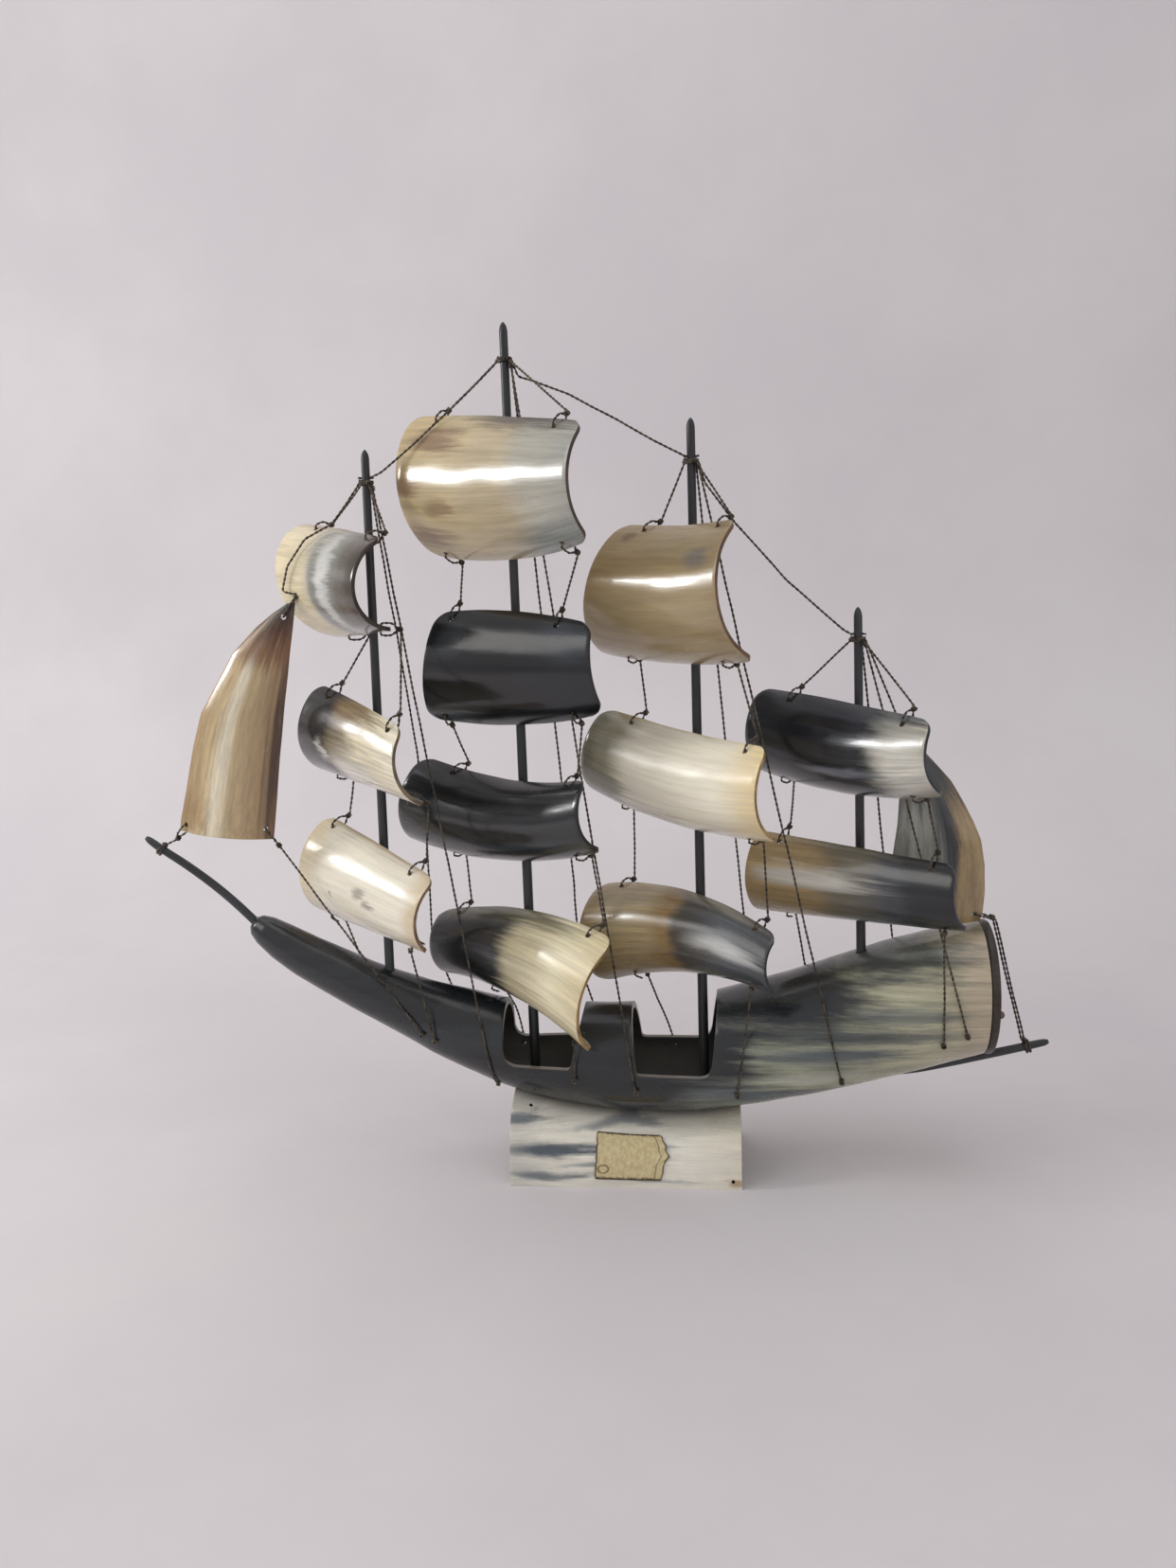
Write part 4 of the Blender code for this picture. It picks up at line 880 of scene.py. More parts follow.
def build_hull(settings):
    x0, x1 = HULL[0][0] * MM + SHIFT.x, STERN * MM + SHIFT.x
    skin = horn("horn hull", [(0.0, "24272A"), (0.3, "1B1E21"), (0.58, "1E2225"), (0.66, "8E9487"),
                              (0.78, "A6A88E"), (0.92, "BDBA9C"), (1.0, "C4B49A")],
                marks_and_painted_light=[(0.64, 0.46, 0.1, 0.3, "1D2124", 1.0), (0.76, 0.68, 0.12, 0.22, "23282B", 1.0),
                       (0.87, 0.86, 0.12, 0.12, "4A4F4E", 0.9), (0.95, 0.97, 0.1, 0.07, "8A8672", 0.8),
                       (0.8, 0.42, 0.09, 0.06, "4A565E", 0.85), (0.69, 0.2, 0.1, 0.06, "49565E", 0.85),
                       (0.86, 0.52, 0.12, 0.05, "3F4A50", 0.7), (0.78, 0.3, 0.05, 0.04, "D6D8CA", 0.5),
                       (0.9, 0.62, 0.06, 0.05, "59656C", 0.6), (0.3, 0.45, 0.3, 0.06, "33393D", 0.6)],
                space=((x0, 0.03), (x1, 0.155)), streak=0.3, rough=0.22, stretch=(2.2, 0.55), warp=0.07,
                seed=2.0, bump=0.3, wear=0.05)
    edge = horn("horn hull cut", [(0.0, "5C584C"), (0.6, "6E6858"), (1.0, "B5AB8C")],
                space=((x0, 0.03), (x1, 0.155)), streak=0.3, rough=0.4, stretch=(3, 2), seed=5.0)
    inside = plain("horn hull inside", "2A2926", "4A463C", 0.55, scale=45, stretch=(0.3, 1, 1))
    hull = tube_object("visual_hull", 0.0, HULL[0][0], settings, [skin, edge, inside], 0.5)
    hollow = tube_object("hollow", HULL_WALL, HOLLOW_FROM, settings, [inside], 0.3)
    cut(hull, hollow)
    for outline in (DECK_CUT_1, DECK_CUT_2):
        cut(hull, outline_block(rounded(outline, 2.5), 60, edge))
    stern = [(STERN, 0), (STERN + 60, 0), (STERN + 60, 200), (STERN, 200)]
    cut(hull, outline_block(stern, 80, edge))
    rim = hull.modifiers.new("rim", "BEVEL")
    rim.width = 0.5 * MM
    rim.segments = 2
    rim.limit_method = "ANGLE"
    rim.angle_limit = math.radians(55)
    rim.use_clamp_overlap = True
    baked(hull)
    for name in ("fore", "mizzen"):
        foot = MASTS[name][1] - GAP
        tool = rod("drill", [mast_point(name, foot), mast_point(name, 150)], MASTS[name][5] + GAP, inside)
        cut(hull, tool)
    sprit = path_3d(BOWSPRIT)
    back = (sprit[0] - sprit[1]).normalized() * GAP
    cut(hull, rod("drill", [sprit[0] + back, sprit[1] - back * 30], BOWSPRIT[0][2] + GAP, inside))
    boom = path_3d(BOOM)
    start = boom[0] - (boom[1] - boom[0]).normalized() * 4
    cut(hull, rod("groove", [start] + boom[1:4], [1.4, 2.3, 3.0, 3.0], inside))
    ties = list(NEAR_SHROUD.values()) + list(FAR_SHROUD.values()) + [JIB_SHEET]
    ties += [tie for pair in FOOT_TIES.values() for tie in pair]
    for x, angle in ties:
        cut(hull, rod("drill", [hull_point(x, angle, 3), hull_point(x, angle, -7)], WIRE_R + BORE_SLACK,
                      inside, 3))
    smooth(hull, 32)
    finish_piece(hull, "hull")


def build_cap(settings):
    z, half, width = hull_at(STERN)
    count = settings.detail * 6
    profile = [(0.0, 0.0), (half - 0.6, 0.0), (half + 0.4, 0.5), (half + 0.8, 1.4),
               (half + 0.8, CAP_THICK - 1.5),
               (half + 0.3, CAP_THICK - 0.5), (half - 1.0, CAP_THICK - 0.05), (half * 0.6, CAP_THICK + 0.1),
               (0.0, CAP_THICK + 0.15)]

    def place(u, v):
        radius, x = profile[round(v * (len(profile) - 1))]
        a = math.tau * u
        flat = width / half
        point = Vector((STERN + GAP + x, -math.cos(a) * radius * flat, z + math.sin(a) * radius))
        return point

    skin = horn("horn cap", [(0.0, "33271D"), (0.5, "3F3024"), (1.0, "2A2019")], streak=0.4, rough=0.5,
                space=((STERN * MM, 0.07), (STERN * MM + 0.3, 0.16)), stretch=(1, 1), seed=7.0)
    cap = grid_object("visual_stern_cap", count + 1, len(profile), place, [skin], closed=True)
    bm = bmesh.new()
    bm.from_mesh(cap.data)
    bmesh.ops.dissolve_degenerate(bm, edges=bm.edges, dist=1e-7)
    bmesh.ops.recalc_face_normals(bm, faces=bm.faces)
    bm.to_mesh(cap.data)
    bm.free()
    smooth(cap)
    finish_piece(cap, "stern_cap")
    pin_skin = plain("pin metal", "8C8578", "57524A", 0.35, 0.9, 150)
    head = [(-2.6, 1.0), (0.3, 1.0), (0.31, 2.2), (0.9, 2.2), (1.6, 1.9), (2.2, 1.3), (2.6, 0.3)]
    axis = Vector((STERN + GAP + CAP_THICK, PIN_Y, PIN_Z))
    pin = rod("visual_stern_pin", [axis + Vector((x, 0, 0)) for x, _ in head], [r for _, r in head],
              pin_skin, 8)
    smooth(pin, 50)
    finish_piece(pin, "stern_pin")


def build_stand(settings):
    x0, x1 = STAND_STATIONS[0], STAND_STATIONS[-1]
    span = 180.0

    def place(u, v):
        angle = -6 + (span + 12) * v
        x = x0 + (x1 - x0) * u
        if angle < 0 or angle > 180:
            side = 0 if angle < 0 else 180
            low = abs(angle) if angle < 0 else angle - 180
            return arch_point(x, side) - Vector((0, 0, low))
        return uneven(arch_point(x, angle), 0.3 * math.sin(math.radians(angle)), 26.0)

    low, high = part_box("stand")
    skin = horn("horn stand", [(0.0, "D5D3C8"), (0.3, "EDE8DA"), (0.8, "F0EBDD"), (1.0, "E6DFCC")],
                marks_and_painted_light=[(0.22, 0.45, 0.26, 0.09, "45525E", 0.95), (0.04, 0.8, 0.12, 0.06, "55626C", 0.85),
                       (0.14, 0.14, 0.2, 0.06, "5C6872", 0.85), (0.45, 0.66, 0.16, 0.04, "6E7A82", 0.7),
                       (0.4, 0.28, 0.14, 0.04, "6E7A82", 0.7), (0.76, 0.78, 0.12, 0.05, "7B858B", 0.7),
                       (0.66, 0.5, 0.1, 0.03, "8C9599", 0.6), (0.62, 0.1, 0.2, 0.03, "9AA2A5", 0.6),
                       (0.97, 0.08, 0.04, 0.06, "A87C4A", 0.7)],
                space=((low.x, low.z), (high.x, high.z)), streak=0.14, rough=0.2, stretch=(1.3, 0.3),
                seed=11.0,
                glow=0.1, warp=0.22)
    stand = grid_object("visual_stand", settings.detail * 3, settings.detail * 4, place, [skin])
    thicken(stand, STAND_WALL, 0.0)
    below = outline_block([(-200, -60), (200, -60), (200, 0), (-200, 0)], 90, skin)
    cut(stand, below)
    edge = stand.modifiers.new("rim", "BEVEL")
    edge.width = 0.8 * MM
    edge.segments = 3
    edge.limit_method = "ANGLE"
    edge.angle_limit = math.radians(50)
    baked(stand)
    near = arch_point(-57, 68)
    foot = Vector((64, -STAND_HALF_WIDTH, 5))
    hole = plain("pin hole", "5A3A1E", "2A1A0E", 0.7)
    cut(stand, rod("drill", [near + Vector((0, 0, 4)), near - Vector((0, 0, 2.6))], 1.1, hole, 4))
    cut(stand, rod("drill", [foot - Vector((0, 4, 0)), foot + Vector((0, 2.6, 0))], 1.1, hole, 4))
    smooth(stand, 35)
    finish_piece(stand, "stand")


def build_label(settings):
    """A torn-edged scroll of paper, with generic curl and crack marks and no writing."""
    def place(u, v):
        t = v * (len(LABEL) - 1)
        i = min(int(t), len(LABEL) - 2)
        angle, left, right = [a + (b - a) * (t - i) for a, b in zip(LABEL[i], LABEL[i + 1])]
        tear = noise.noise(Vector((v * 9, 2.0 if u < 0.5 else 7.0, 0))) * 0.9
        x = left + (right - left) * u + tear * abs(2 * u - 1) ** 6
        return arch_point(x, angle, GAP + LABEL_THICK)

    n = Nodes("label paper")
    flat = n.add("ShaderNodeUVMap", uv_map="UVMap").outputs[0]
    split = n.add("ShaderNodeSeparateXYZ", {0: flat})
    off_u = n.math("SUBTRACT", 0.5, n.math("ABSOLUTE", n.math("SUBTRACT", split.outputs[0], 0.5)))
    off_v = n.math("SUBTRACT", 0.5, n.math("ABSOLUTE", n.math("SUBTRACT", split.outputs[1], 0.5)))
    edge = n.math("MINIMUM", off_u, n.math("MULTIPLY", off_v, 0.4))
    grain = n.noise(n.scaled(flat, (6, 3, 1)), 3.0, 6.0, 0.65)
    paper = n.mix(n.span(grain, 0.3, 0.7), rgb("C2AF7E"), rgb("DCCDA2"))
    rag = n.math("ADD", edge, n.math("MULTIPLY", n.math("SUBTRACT", grain, 0.5), 0.05))
    paper = n.mix(n.span(rag, 0.032, 0.008), paper, rgb("4A3A24"))
    curl = n.add("ShaderNodeVectorMath", {0: flat, 1: (0.12, 0.22, 0)}, operation="DISTANCE").outputs["Value"]
    ring = n.math("ABSOLUTE", n.math("SUBTRACT", curl, 0.075))
    paper = n.mix(n.span(ring, 0.02, 0.006, 0.0, 0.8), paper, rgb("5B482C"))
    crack = n.math("ABSOLUTE", n.math("SUBTRACT", split.outputs[0], n.math("ADD", 0.86, n.math(
        "MULTIPLY", grain, 0.06))))
    paper = n.mix(n.span(crack, 0.012, 0.003, 0.0, 0.7), paper, rgb("4F3D25"))
    n.put(n.bsdf.inputs["Base Color"], paper)
    n.put(n.bsdf.inputs["Roughness"], n.span(grain, 0.3, 0.7, 0.45, 0.7))
    n.put(n.bsdf.inputs["Normal"],
          n.add("ShaderNodeBump", {"Height": grain, "Strength": 0.4, "Distance": 0.0003}).outputs[0])
    label = grid_object("visual_label", 40, 36, place, [n.mat])
    thicken(label, LABEL_THICK, 0.0)
    smooth(label, 60)
    finish_piece(label, "label")


def build_spars(settings):
    paint = plain("mast black", "2A2B2D", "3C3D40", 0.42, 0.0, 40, 0.5, (1, 1, 0.25))
    for name, (_, foot, _, top, _, foot_r, top_r) in MASTS.items():
        steps = 24
        points, radii = [], []
        for k in range(steps + 1):
            z = foot + (top - 6 - foot) * k / steps
            wobble = 1 + 0.03 * noise.noise(Vector((z / 40, foot, 1.0)))
            points.append(mast_point(name, z))
            radii.append((foot_r + (top_r - foot_r) * k / steps) * wobble)
        for lift, share in ((4.5, 0.97), (2.5, 0.8), (1.0, 0.5), (0.0, 0.12)):
            points.append(mast_point(name, top - lift))
            radii.append(top_r * share)
        mast = rod("visual_%s_mast" % name, points, radii, paint)
        smooth(mast, 40)
        finish_piece(mast, name + "_mast")
    for node, path in (("bowsprit", BOWSPRIT), ("stern_boom", BOOM)):
        points = path_3d(path)
        radii = [r for _, _, r in path]
        for _ in range(2):
            points, radii = softened(points, radii)
        spar = rod("visual_" + node, points, radii, paint)
        smooth(spar, 50)
        finish_piece(spar, node)


def softened(points, radii):
    """One round of corner cutting on a path and its radii; the ends stay."""
    new_points, new_radii = [points[0]], [radii[0]]
    for i in range(len(points) - 1):
        for t in (0.25, 0.75):
            new_points.append(points[i].lerp(points[i + 1], t))
            new_radii.append(radii[i] + (radii[i + 1] - radii[i]) * t)
    return new_points + [points[-1]], new_radii + [radii[-1]]


# ---- rigging ---------------------------------------------------------------------------------
RING_LIFT = 0.6          # how far the ring's wire lies off the mast's clearance
KNOT_WIRE_R = 0.42       # wire of the wound knots
TURN_STEP = 1.8          # from one turn round a spar to the next
NOISE_SEED = 2           # never from the clock; some seeds, such as 1, make a cut in the hull fail


def wire_nodes():
    """A node group that twists two strands of wire along every line of a mesh."""
    group = bpy.data.node_groups.new("Twisted wire", "GeometryNodeTree")
    face = group.interface
    face.new_socket("Geometry", in_out="INPUT", socket_type="NodeSocketGeometry")
    for label in ("Pitch", "Strand radius", "Spread"):
        face.new_socket(label, in_out="INPUT", socket_type="NodeSocketFloat")
    face.new_socket("Material", in_out="INPUT", socket_type="NodeSocketMaterial")
    face.new_socket("Geometry", in_out="OUTPUT", socket_type="NodeSocketGeometry")
    nodes, links = group.nodes, group.links

    def add(kind, **settings):
        node = nodes.new(kind)
        for key, value in settings.items():
            setattr(node, key, value)
        return node

    def calc(operation, a, b):
        node = add("ShaderNodeMath", operation=operation)
        for socket, value in zip(node.inputs, (a, b)):
            if isinstance(value, float):
                socket.default_value = value
            else:
                links.new(value, socket)
        return node.outputs[0]

    given = add("NodeGroupInput").outputs
    line = add("GeometryNodeMeshToCurve")
    links.new(given["Geometry"], line.inputs[0])
    even = add("GeometryNodeResampleCurve", mode="LENGTH")
    links.new(line.outputs[0], even.inputs["Curve"])
    links.new(calc("DIVIDE", given["Pitch"], 12.0), even.inputs["Length"])
    along = add("GeometryNodeSplineParameter").outputs["Length"]
    turn = calc("MULTIPLY", calc("DIVIDE", along, given["Pitch"]), math.tau)
    normal = add("GeometryNodeInputNormal").outputs[0]
    cross = add("ShaderNodeVectorMath", operation="CROSS_PRODUCT")
    links.new(add("GeometryNodeInputTangent").outputs[0], cross.inputs[0])
    links.new(normal, cross.inputs[1])
    profile = add("GeometryNodeCurvePrimitiveCircle")
    profile.inputs["Resolution"].default_value = 6
    links.new(given["Strand radius"], profile.inputs["Radius"])
    both = add("GeometryNodeJoinGeometry")
    for phase in (0.0, math.pi):
        angle = calc("ADD", turn, phase)
        sides = []
        for operation, direction in (("COSINE", normal), ("SINE", cross.outputs[0])):
            scale = add("ShaderNodeVectorMath", operation="SCALE")
            links.new(direction, scale.inputs[0])
            links.new(calc("MULTIPLY", calc(operation, angle, 0.0), given["Spread"]), scale.inputs["Scale"])
            sides.append(scale.outputs[0])
        offset = add("ShaderNodeVectorMath", operation="ADD")
        links.new(sides[0], offset.inputs[0])
        links.new(sides[1], offset.inputs[1])
        strand = add("GeometryNodeSetPosition")
        links.new(even.outputs[0], strand.inputs["Geometry"])
        links.new(offset.outputs[0], strand.inputs["Offset"])
        tube = add("GeometryNodeCurveToMesh")
        links.new(strand.outputs[0], tube.inputs["Curve"])
        links.new(profile.outputs[0], tube.inputs["Profile Curve"])
        tube.inputs["Fill Caps"].default_value = True
        links.new(tube.outputs[0], both.inputs[0])
    real = add("GeometryNodeRealizeInstances")
    links.new(both.outputs[0], real.inputs[0])
    paint = add("GeometryNodeSetMaterial")
    links.new(real.outputs[0], paint.inputs["Geometry"])
    links.new(given["Material"], paint.inputs["Material"])
    links.new(paint.outputs[0], add("NodeGroupOutput").inputs[0])
    return group


def bent(path, radius=2.2):
    """The path with rounded bends, and long runs that are not quite straight."""
    out = [Vector(path[0])]
    for before, corner, after in zip(path, path[1:], path[2:]):
        r = min(radius, (before - corner).length * 0.45, (after - corner).length * 0.45)
        start = corner + (before - corner).normalized() * r
        end = corner + (after - corner).normalized() * r
        for k in range(5):
            t = k / 4
            out.append(start * (1 - t) ** 2 + corner * 2 * t * (1 - t) + end * t * t)
    out.append(Vector(path[-1]))
    full = [out[0]]
    for a, b in zip(out, out[1:]):
        pieces = max(1, int((b - a).length / 9))
        for k in range(1, pieces + 1):
            t = k / pieces
            sway = noise.noise_vector(a.lerp(b, t) / 24) * min(0.5,
                                                               (b - a).length / 60) * math.sin(math.pi * t)
            full.append(a.lerp(b, t) + sway)
    return full


def coil(centre, axis, radius, turns, rise, steps=10):
    """Turns of wire wound round a line."""
    axis = Vector(axis).normalized()
    u = axis.orthogonal().normalized()
    v = axis.cross(u)
    points = []
    for k in range(int(turns * steps) + 1):
        t = math.tau * k / steps
        lift = axis * rise * (k / (turns * steps) - 0.5)
        points.append(Vector(centre) + (u * math.cos(t) + v * math.sin(t)) * radius + lift)
    return points


def knot(centre, axis, size=1.35):
    """A short wound knot of wire."""
    return coil(centre, axis, size, 2.5, 2.6)


def eye(tie):
    """Wire through a hole and round the edge, closed by a knot; also where the wire goes on."""
    path = hook(*tie)
    edge = tie[2]
    front_end, front, back, back_end, out = path
    loop = [out + edge * 2, out, front_end, front, back, back_end, out, out + edge * 2]
    return loop, knot(out + edge * 1.0, edge)


def wires(node, lines, knots, settings):
    """One node's wires: twisted lines and plain wound knots."""
    material = bpy.data.materials["rigging wire"]
    mesh = bpy.data.meshes.new("visual_" + node)
    verts, edges = [], []
    for line in lines:
        points = [placed(p) for p in bent(line)]
        edges += [(len(verts) + i, len(verts) + i + 1) for i in range(len(points) - 1)]
        verts += points
    mesh.from_pydata(verts, edges, [])
    ob = link(bpy.data.objects.new("visual_" + node, mesh))
    group = bpy.data.node_groups["Twisted wire"]
    twist = ob.modifiers.new("twist", "NODES")
    twist.node_group = group
    values = {"Pitch": settings.pitch, "Strand radius": settings.strand, "Spread": settings.strand,
              "Material": material}
    for item in group.interface.items_tree:
        if item.in_out == "INPUT" and item.name in values:
            twist[item.identifier] = values[item.name]
    baked(ob)
    parts = [ob] + [rod("knot", line, KNOT_WIRE_R, material, 1) for line in knots]
    whole = joined("visual_" + node, parts)
    whole.data.shade_smooth()
    finish_piece(whole, node)


def hull_knot(x, angle):
    axis = hull_point(x, angle, 2) - hull_point(x, angle, 0)
    return knot(hull_point(x, angle, 1.5), axis, 1.2)


WIRE_CLEAR = 3.4        # how far a halyard stands off the sail that it crosses


def mast_stays():
    """Every mast's lines beside its bridle and shrouds, and the ties they end in."""
    jib_peak = leaf_tie(JIB, JIB_LEAN, JIB_HOLES["peak"], masthead("fore"))
    spanker_peak = leaf_tie(SPANKER, 0, SPANKER_HOLES["peak"], masthead("mizzen"))
    over_sail = [sail_point("f1", along, arc, -WIRE_CLEAR) for along, arc in HALYARD_ON_SAIL]
    stays = {
        "fore": [over_sail],
        "main": [[Vector((x, 0, z)) for x, z in STAY_FORE], [Vector((x, 0, z)) for x, z in STAY_THIRD]],
        "third": [[Vector((x, 0, z)) for x, z in STAY_MIZZEN]],
        "mizzen": [[]],
    }
    for name, targets in {"main": ("fore", "third"), "third": ("mizzen",)}.items():
        for leg, target in zip(stays[name], targets):
            leg += mast_hook(target, leg[-1])
    return stays, {"fore": jib_peak, "mizzen": spanker_peak}


def build_mastheads(settings):
    stays, peaks = mast_stays()
    for name, key in (("fore", "f1"), ("main", "m1"), ("third", "n1"), ("mizzen", "z1")):
        top = masthead(name)
        axis = (mast_point(name, 400) - mast_point(name, 300)).normalized()
        radius = MASTS[name][6] + 0.2 + GAP + settings.strand / MM
        lines, knots = [coil(top, axis, radius + RING_LIFT, 2.5, 2.6, 14)], []

        def from_ring(point):
            flat = point - top
            flat = (flat - axis * flat.dot(axis)).normalized()
            return top + flat * (radius + RING_LIFT)

        for side in (0, 1):
            loop, twist = eye(sail_tie(key, side))
            lines += [loop, [from_ring(loop[0]), loop[0]]]
            knots += [twist, knot(from_ring(loop[0]), loop[0] - top, 1.1)]
        via = [Vector(p) for p in SHROUD_VIA.get(name, [])]
        near = hull_tie(top, *NEAR_SHROUD[name])
        far = via + hull_tie(via[-1] if via else top, *FAR_SHROUD[name])
        for leg, hole in ((near, NEAR_SHROUD[name]), (far, FAR_SHROUD[name])):
            lines.append([from_ring(leg[0])] + leg)
            knots += [hull_knot(*hole), knot(from_ring(leg[0]) + (leg[0] - top).normalized() * 3,
                                             leg[0] - top, 1.1)]
        for leg in stays[name]:
            if name in peaks:
                loop, twist = eye(peaks[name])
                lines.append(loop)
                knots.append(twist)
                leg = leg + [loop[0]]
            lines.append([from_ring(leg[0])] + leg)
        wires(name + "_rigging", lines, knots, settings)


def build_links(settings):
    for chain in CHAINS:
        for upper, lower in zip(chain, chain[1:]):
            for side, tag in ((0, "left"), (1, "right")):
                top, top_knot = eye(sail_tie(upper, 2 + side))
                low, low_knot = eye(sail_tie(lower, side))
                lines = [top, low, [top[0], low[0]]]
                wires("link_%s_%s_%s" % (upper, lower, tag), lines, [top_knot, low_knot], settings)


def build_foot_ties(settings):
    for key, pair in FOOT_TIES.items():
        for side, tag in ((0, "far"), (1, "near")):
            tie = sail_tie(key, 2 + side)
            path = hook(*tie)
            start = path[1] if tag == "near" else path[4]
            loop = [path[3], path[2], path[1]] if tag == "near" else path
            lines = [loop + hull_tie(start, *pair[side])]
            knots = [hull_knot(*pair[side]), knot(start, Vector((0, 0, 1)), 1.2)]
            wires("foot_tie_%s_%s" % (key, tag), lines, knots, settings)


def build_sheets(settings):
    tack = leaf_tie(JIB, JIB_LEAN, JIB_HOLES["tack"], BOWSPRIT_TIE)
    sprit = path_3d(BOWSPRIT)
    loop, twist = eye(tack)
    ring = loop_round(BOWSPRIT_TIE, sprit[4] - sprit[3], SPAR_LOOP_R, tack[0])
    second = [p + (sprit[4] - sprit[3]).normalized() * TURN_STEP for p in ring]
    wires("jib_tack", [loop, [loop[0]] + ring, second], [twist, knot(ring[0], ring[0] - tack[0], 1.2)],
          settings)
    end = hull_point(*JIB_SHEET, WIRE_OFF)
    loop, twist = eye(leaf_tie(JIB, JIB_LEAN, JIB_HOLES["clew"], end))
    wires("jib_sheet", [loop, [loop[0]] + hull_tie(loop[0], *JIB_SHEET)], [twist, hull_knot(*JIB_SHEET)],
          settings)
    clew = leaf_tie(SPANKER, 0, SPANKER_HOLES["clew"], SHEET_BEND)
    loop, twist = eye(clew)
    boom = path_3d(BOOM)
    axis = boom[3] - boom[2]
    ring = loop_round(BOOM_TIE, axis, SPAR_LOOP_R, clew[0])
    bend = Vector(SHEET_BEND)
    twin = [p + Vector((-1.5, 0.8, 0)) for p in (bend, ring[0].lerp(bend, 0.3), ring[0])]
    lines = [loop, [loop[0], bend] + ring, [loop[0]] + twin,
             [p + axis.normalized() * TURN_STEP for p in ring]]
    wires("spanker_sheet", lines, [twist, knot(ring[0], ring[0] - bend, 1.3)], settings)


# ---- studio ----------------------------------------------------------------------------------
def build_stage(settings):
    scene = bpy.context.scene
    wall_y, curve_r = 0.75, 0.35

    def backdrop(u, v):
        t = v * 3.2
        x = (u - 0.5) * 14.0
        if t < 2.0:
            return Vector((x, -7.0 + (wall_y - curve_r + 7.0) * t / 2.0, 0)) * 1000
        if t < 2.4:
            a = math.radians(90) * (t - 2.0) / 0.4
            return Vector((x, wall_y - curve_r + curve_r * math.sin(a), curve_r * (1 - math.cos(a)))) * 1000
        return Vector((x, wall_y, curve_r + (t - 2.4) * 3)) * 1000

    paper = plain("studio paper", settings.paper, settings.paper_shade, 0.75, 0.0, 3.0, 0.1)
    floor = grid_object("studio_floor", 3, 65, backdrop, [paper])
    floor.data.transform(Matrix.Translation(-SHIFT))
    smooth(floor, 60)
    for name, place, size, power, color in (
        ("key", (-1.25, -0.75, 1.25), 0.9, settings.key, (1.0, 0.97, 0.92)),
        ("fill", (1.2, -1.0, 0.7), 1.2, settings.fill, (0.9, 0.95, 1.0)),
        ("top", (0.1, 0.1, 1.7), 1.3, settings.top, (1.0, 0.99, 0.97)),
        ("window", (-1.3, -0.16, 0.66), 0.22, settings.window, (1.0, 1.0, 1.0)),
    ):
        data = bpy.data.lights.new(name, "AREA")
        data.shape = "SQUARE"
        data.size = size
        data.energy = power
        data.color = color
        lamp = link(bpy.data.objects.new(name, data))
        lamp.location = place
        aim = Vector((0.0, 0.0, 0.25)) - Vector(place)
        lamp.rotation_euler = aim.to_track_quat("-Z", "Y").to_euler()
    world = bpy.data.worlds.new("studio")
    world.use_nodes = True
    world.node_tree.nodes["Background"].inputs[0].default_value = (0.97, 0.95, 0.98, 1.0)
    world.node_tree.nodes["Background"].inputs[1].default_value = settings.ambient
    scene.world = world
    scene.view_settings.view_transform = "Standard"


def build_camera(settings):
    """The camera stands off the near side, a little to port of the middle, and looks slightly down."""
    yaw, pitch, roll = (math.radians(a) for a in (settings.yaw, settings.pitch_down, settings.roll))
    forward = Vector((-math.sin(yaw) * math.cos(pitch), math.cos(yaw) * math.cos(pitch), -math.sin(pitch)))
    right = forward.cross(Vector((0, 0, 1))).normalized()
    up = right.cross(forward)
    right, up = (right * math.cos(roll) + up * math.sin(roll), up * math.cos(roll) - right * math.sin(roll))
    data = bpy.data.cameras.new("camera")
    data.sensor_fit = "VERTICAL"
    data.sensor_height = 36.0
    data.lens = settings.lens
    data.clip_start = 0.02
    camera = link(bpy.data.objects.new("camera", data))
    turn = Matrix((right, up, -forward)).transposed().to_4x4()
    camera.matrix_world = Matrix.Translation(Vector(settings.eye) + SHIFT) @ turn
    bpy.context.scene.camera = camera


# ---- the add-on ------------------------------------------------------------------------------
class HornShipSettings(bpy.types.PropertyGroup):
    """How finely and in what light the ship is built."""

    detail: bpy.props.IntProperty(
        name="Detail", description="Rows of faces across a sail", default=24, min=8, max=60)
    pitch: bpy.props.FloatProperty(
        name="Wire pitch", description="Length of one turn of the twisted wire", default=0.0062,
        min=0.002, max=0.05, unit="LENGTH", subtype="DISTANCE")
    strand: bpy.props.FloatProperty(
        name="Strand radius", description="Radius of one strand of wire", default=0.00036,
        min=0.0001, max=0.002, unit="LENGTH", subtype="DISTANCE")
    eye: bpy.props.FloatVectorProperty(
        name="Eye", description="Camera position in the design's frame", default=(0.0593, -0.7285, 0.3719),
        size=3, unit="LENGTH", subtype="TRANSLATION")
    yaw: bpy.props.FloatProperty(name="Yaw", description="Camera turn to port, in degrees", default=6.0)
    pitch_down: bpy.props.FloatProperty(name="Pitch", description="Camera tilt down, in degrees",
                                        default=10.5)
    roll: bpy.props.FloatProperty(name="Roll", description="Camera roll, in degrees", default=-2.0)
    lens: bpy.props.FloatProperty(name="Lens", description="Focal length in millimetres", default=29.11)
    key: bpy.props.FloatProperty(name="Key", description="Power of the key light", default=5.5, unit="POWER")
    fill: bpy.props.FloatProperty(name="Fill", description="Power of the fill light", default=1.5,
                                  unit="POWER")
    top: bpy.props.FloatProperty(name="Top", description="Power of the top light", default=4.0, unit="POWER")
    window: bpy.props.FloatProperty(
        name="Window", description="Power of the small light that makes highlights", default=5.0,
        unit="POWER")
    ambient: bpy.props.FloatProperty(name="Ambient", description="Strength of the surrounding light",
                                     default=0.56)
    paper: bpy.props.StringProperty(name="Paper", description="Colour of the studio paper", default="DDD9DA")
    paper_shade: bpy.props.StringProperty(name="Paper shade", description="Its second colour",
                                          default="D7D2D5")


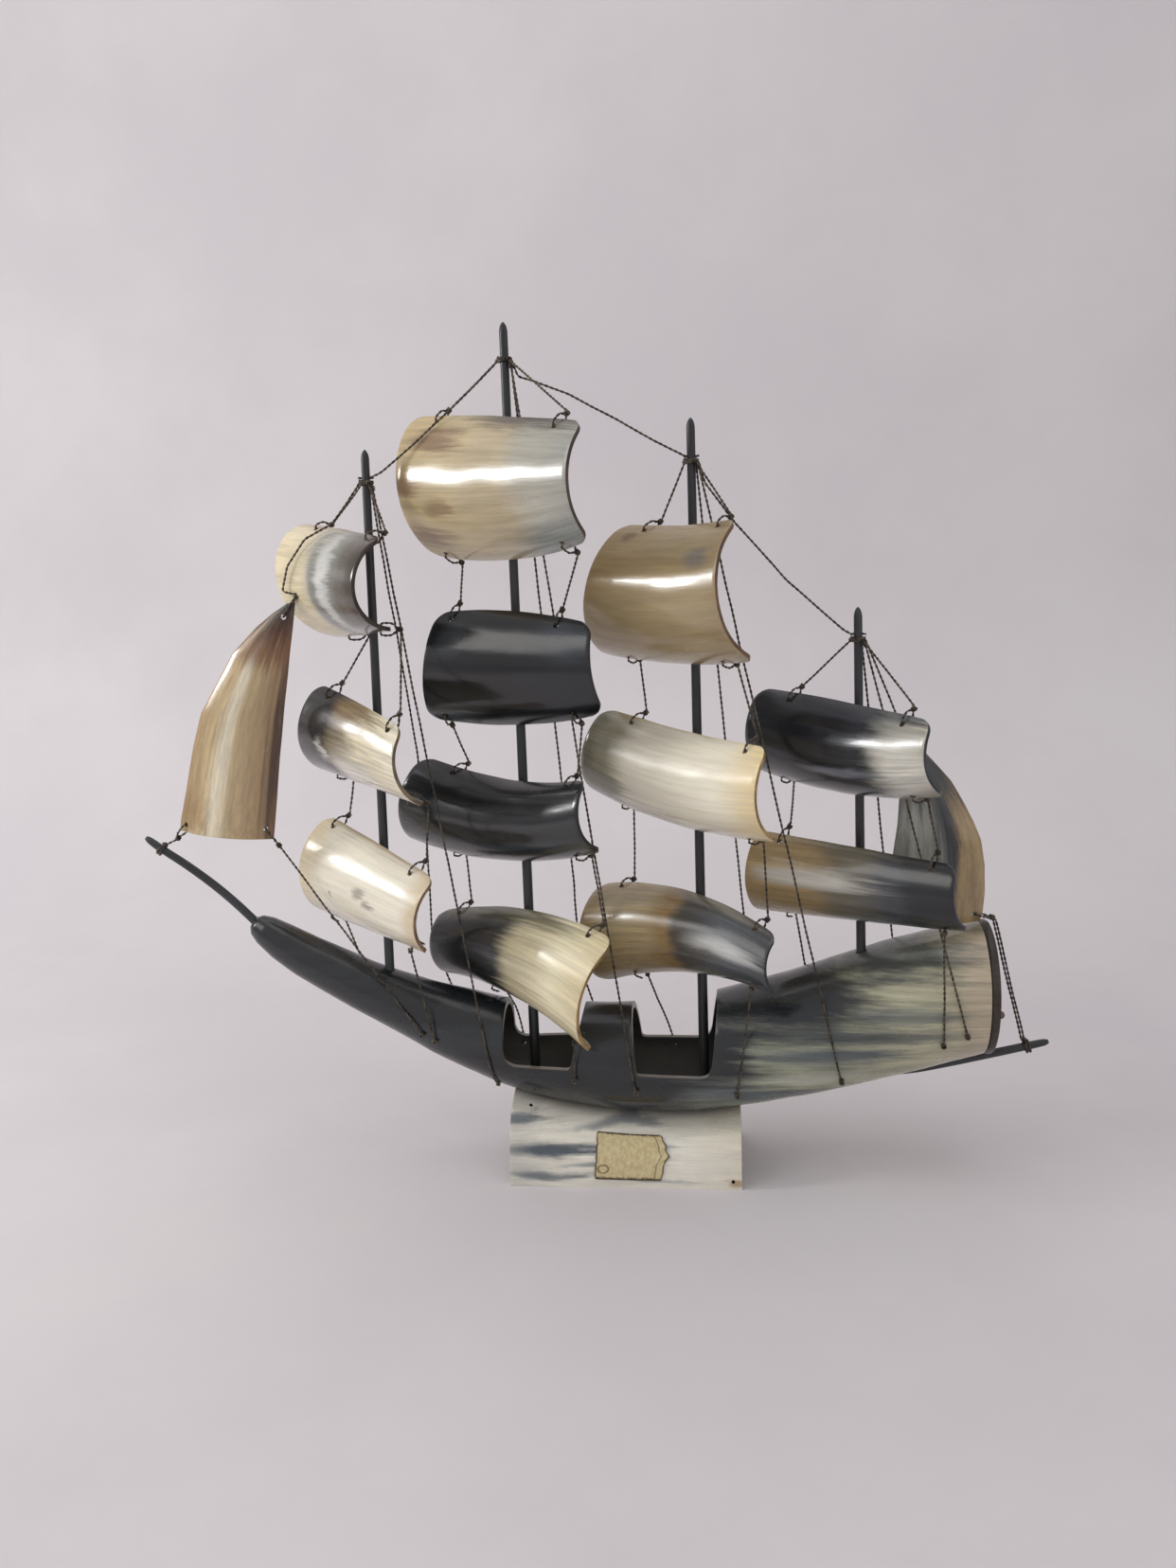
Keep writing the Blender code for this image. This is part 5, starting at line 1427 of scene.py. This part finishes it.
def run_builder(build, context):
    """Run one builder with the scene's settings; its errors reach the caller."""
    noise.seed_set(NOISE_SEED)
    build(context.scene.horn_ship)
    return {"FINISHED"}


class HornShipOperator:
    """What every piece's operator shares."""

    bl_options = {"REGISTER", "UNDO"}

    def execute(self, context):
        return run_builder(self.build, context)


class SHIP_OT_sails(HornShipOperator, bpy.types.Operator):
    """Build the twelve curved horn sails."""

    bl_idname = "ship.sails"
    bl_label = "Sails"

    @staticmethod
    def build(settings):
        for key in SAILS:
            build_sail(key, settings)


class SHIP_OT_jib(HornShipOperator, bpy.types.Operator):
    """Build the jib at the bow."""

    bl_idname = "ship.jib"
    bl_label = "Jib"

    @staticmethod
    def build(settings):
        build_leaf("jib", JIB, JIB_LEAN, JIB_HOLES, JIB_LOOK, settings)


class SHIP_OT_spanker(HornShipOperator, bpy.types.Operator):
    """Build the spanker at the stern."""

    bl_idname = "ship.spanker"
    bl_label = "Spanker"

    @staticmethod
    def build(settings):
        build_leaf("spanker", SPANKER, 0, SPANKER_HOLES, SPANKER_LOOK, settings)


class SHIP_OT_hull(HornShipOperator, bpy.types.Operator):
    """Build the hollow horn hull with its deck cut-outs and bores."""

    bl_idname = "ship.hull"
    bl_label = "Hull"
    build = staticmethod(build_hull)


class SHIP_OT_stern(HornShipOperator, bpy.types.Operator):
    """Build the stern cap and its pin."""

    bl_idname = "ship.stern"
    bl_label = "Stern cap"
    build = staticmethod(build_cap)


class SHIP_OT_stand(HornShipOperator, bpy.types.Operator):
    """Build the half-round horn stand."""

    bl_idname = "ship.stand"
    bl_label = "Stand"
    build = staticmethod(build_stand)


class SHIP_OT_label(HornShipOperator, bpy.types.Operator):
    """Build the torn paper label without any writing."""

    bl_idname = "ship.label"
    bl_label = "Label"
    build = staticmethod(build_label)


class SHIP_OT_spars(HornShipOperator, bpy.types.Operator):
    """Build the masts, the bowsprit and the stern boom."""

    bl_idname = "ship.spars"
    bl_label = "Masts and spars"
    build = staticmethod(build_spars)


class SHIP_OT_rigging(HornShipOperator, bpy.types.Operator):
    """Build all twisted wire: mastheads, links, foot ties and sheets."""

    bl_idname = "ship.rigging"
    bl_label = "Rigging"

    @staticmethod
    def build(settings):
        wire_nodes()
        plain("rigging wire", "6B6255", "3A342D", 0.45, 0.6, 220, 0.3)
        for build in (build_mastheads, build_links, build_foot_ties, build_sheets):
            build(settings)


class SHIP_OT_stage(HornShipOperator, bpy.types.Operator):
    """Build the studio: paper backdrop, soft lights and the camera."""

    bl_idname = "ship.stage"
    bl_label = "Studio"

    @staticmethod
    def build(settings):
        build_camera(settings)
        build_stage(settings)


OPERATORS = (SHIP_OT_stage, SHIP_OT_hull, SHIP_OT_stern, SHIP_OT_stand, SHIP_OT_label, SHIP_OT_spars,
             SHIP_OT_sails, SHIP_OT_jib, SHIP_OT_spanker, SHIP_OT_rigging)


class SHIP_PT_panel(bpy.types.Panel):
    """The ship's settings and builders, in the 3D view's sidebar."""

    bl_idname = "SHIP_PT_panel"
    bl_label = "Horn Ship"
    bl_space_type = "VIEW_3D"
    bl_region_type = "UI"
    bl_category = "Horn Ship"

    def draw(self, context):
        for name in HornShipSettings.__annotations__:
            self.layout.prop(context.scene.horn_ship, name)
        for operator in OPERATORS:
            self.layout.operator(operator.bl_idname)


CLASSES = (HornShipSettings, *OPERATORS, SHIP_PT_panel)


def register():
    for cls in CLASSES:
        bpy.utils.register_class(cls)
    bpy.types.Scene.horn_ship = bpy.props.PointerProperty(type=HornShipSettings)


def unregister():
    del bpy.types.Scene.horn_ship
    for cls in reversed(CLASSES):
        bpy.utils.unregister_class(cls)


def main():
    register()
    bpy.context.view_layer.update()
    for operator in OPERATORS:
        getattr(bpy.ops.ship, operator.bl_idname.split(".")[1])()


if __name__ == "__main__":
    main()
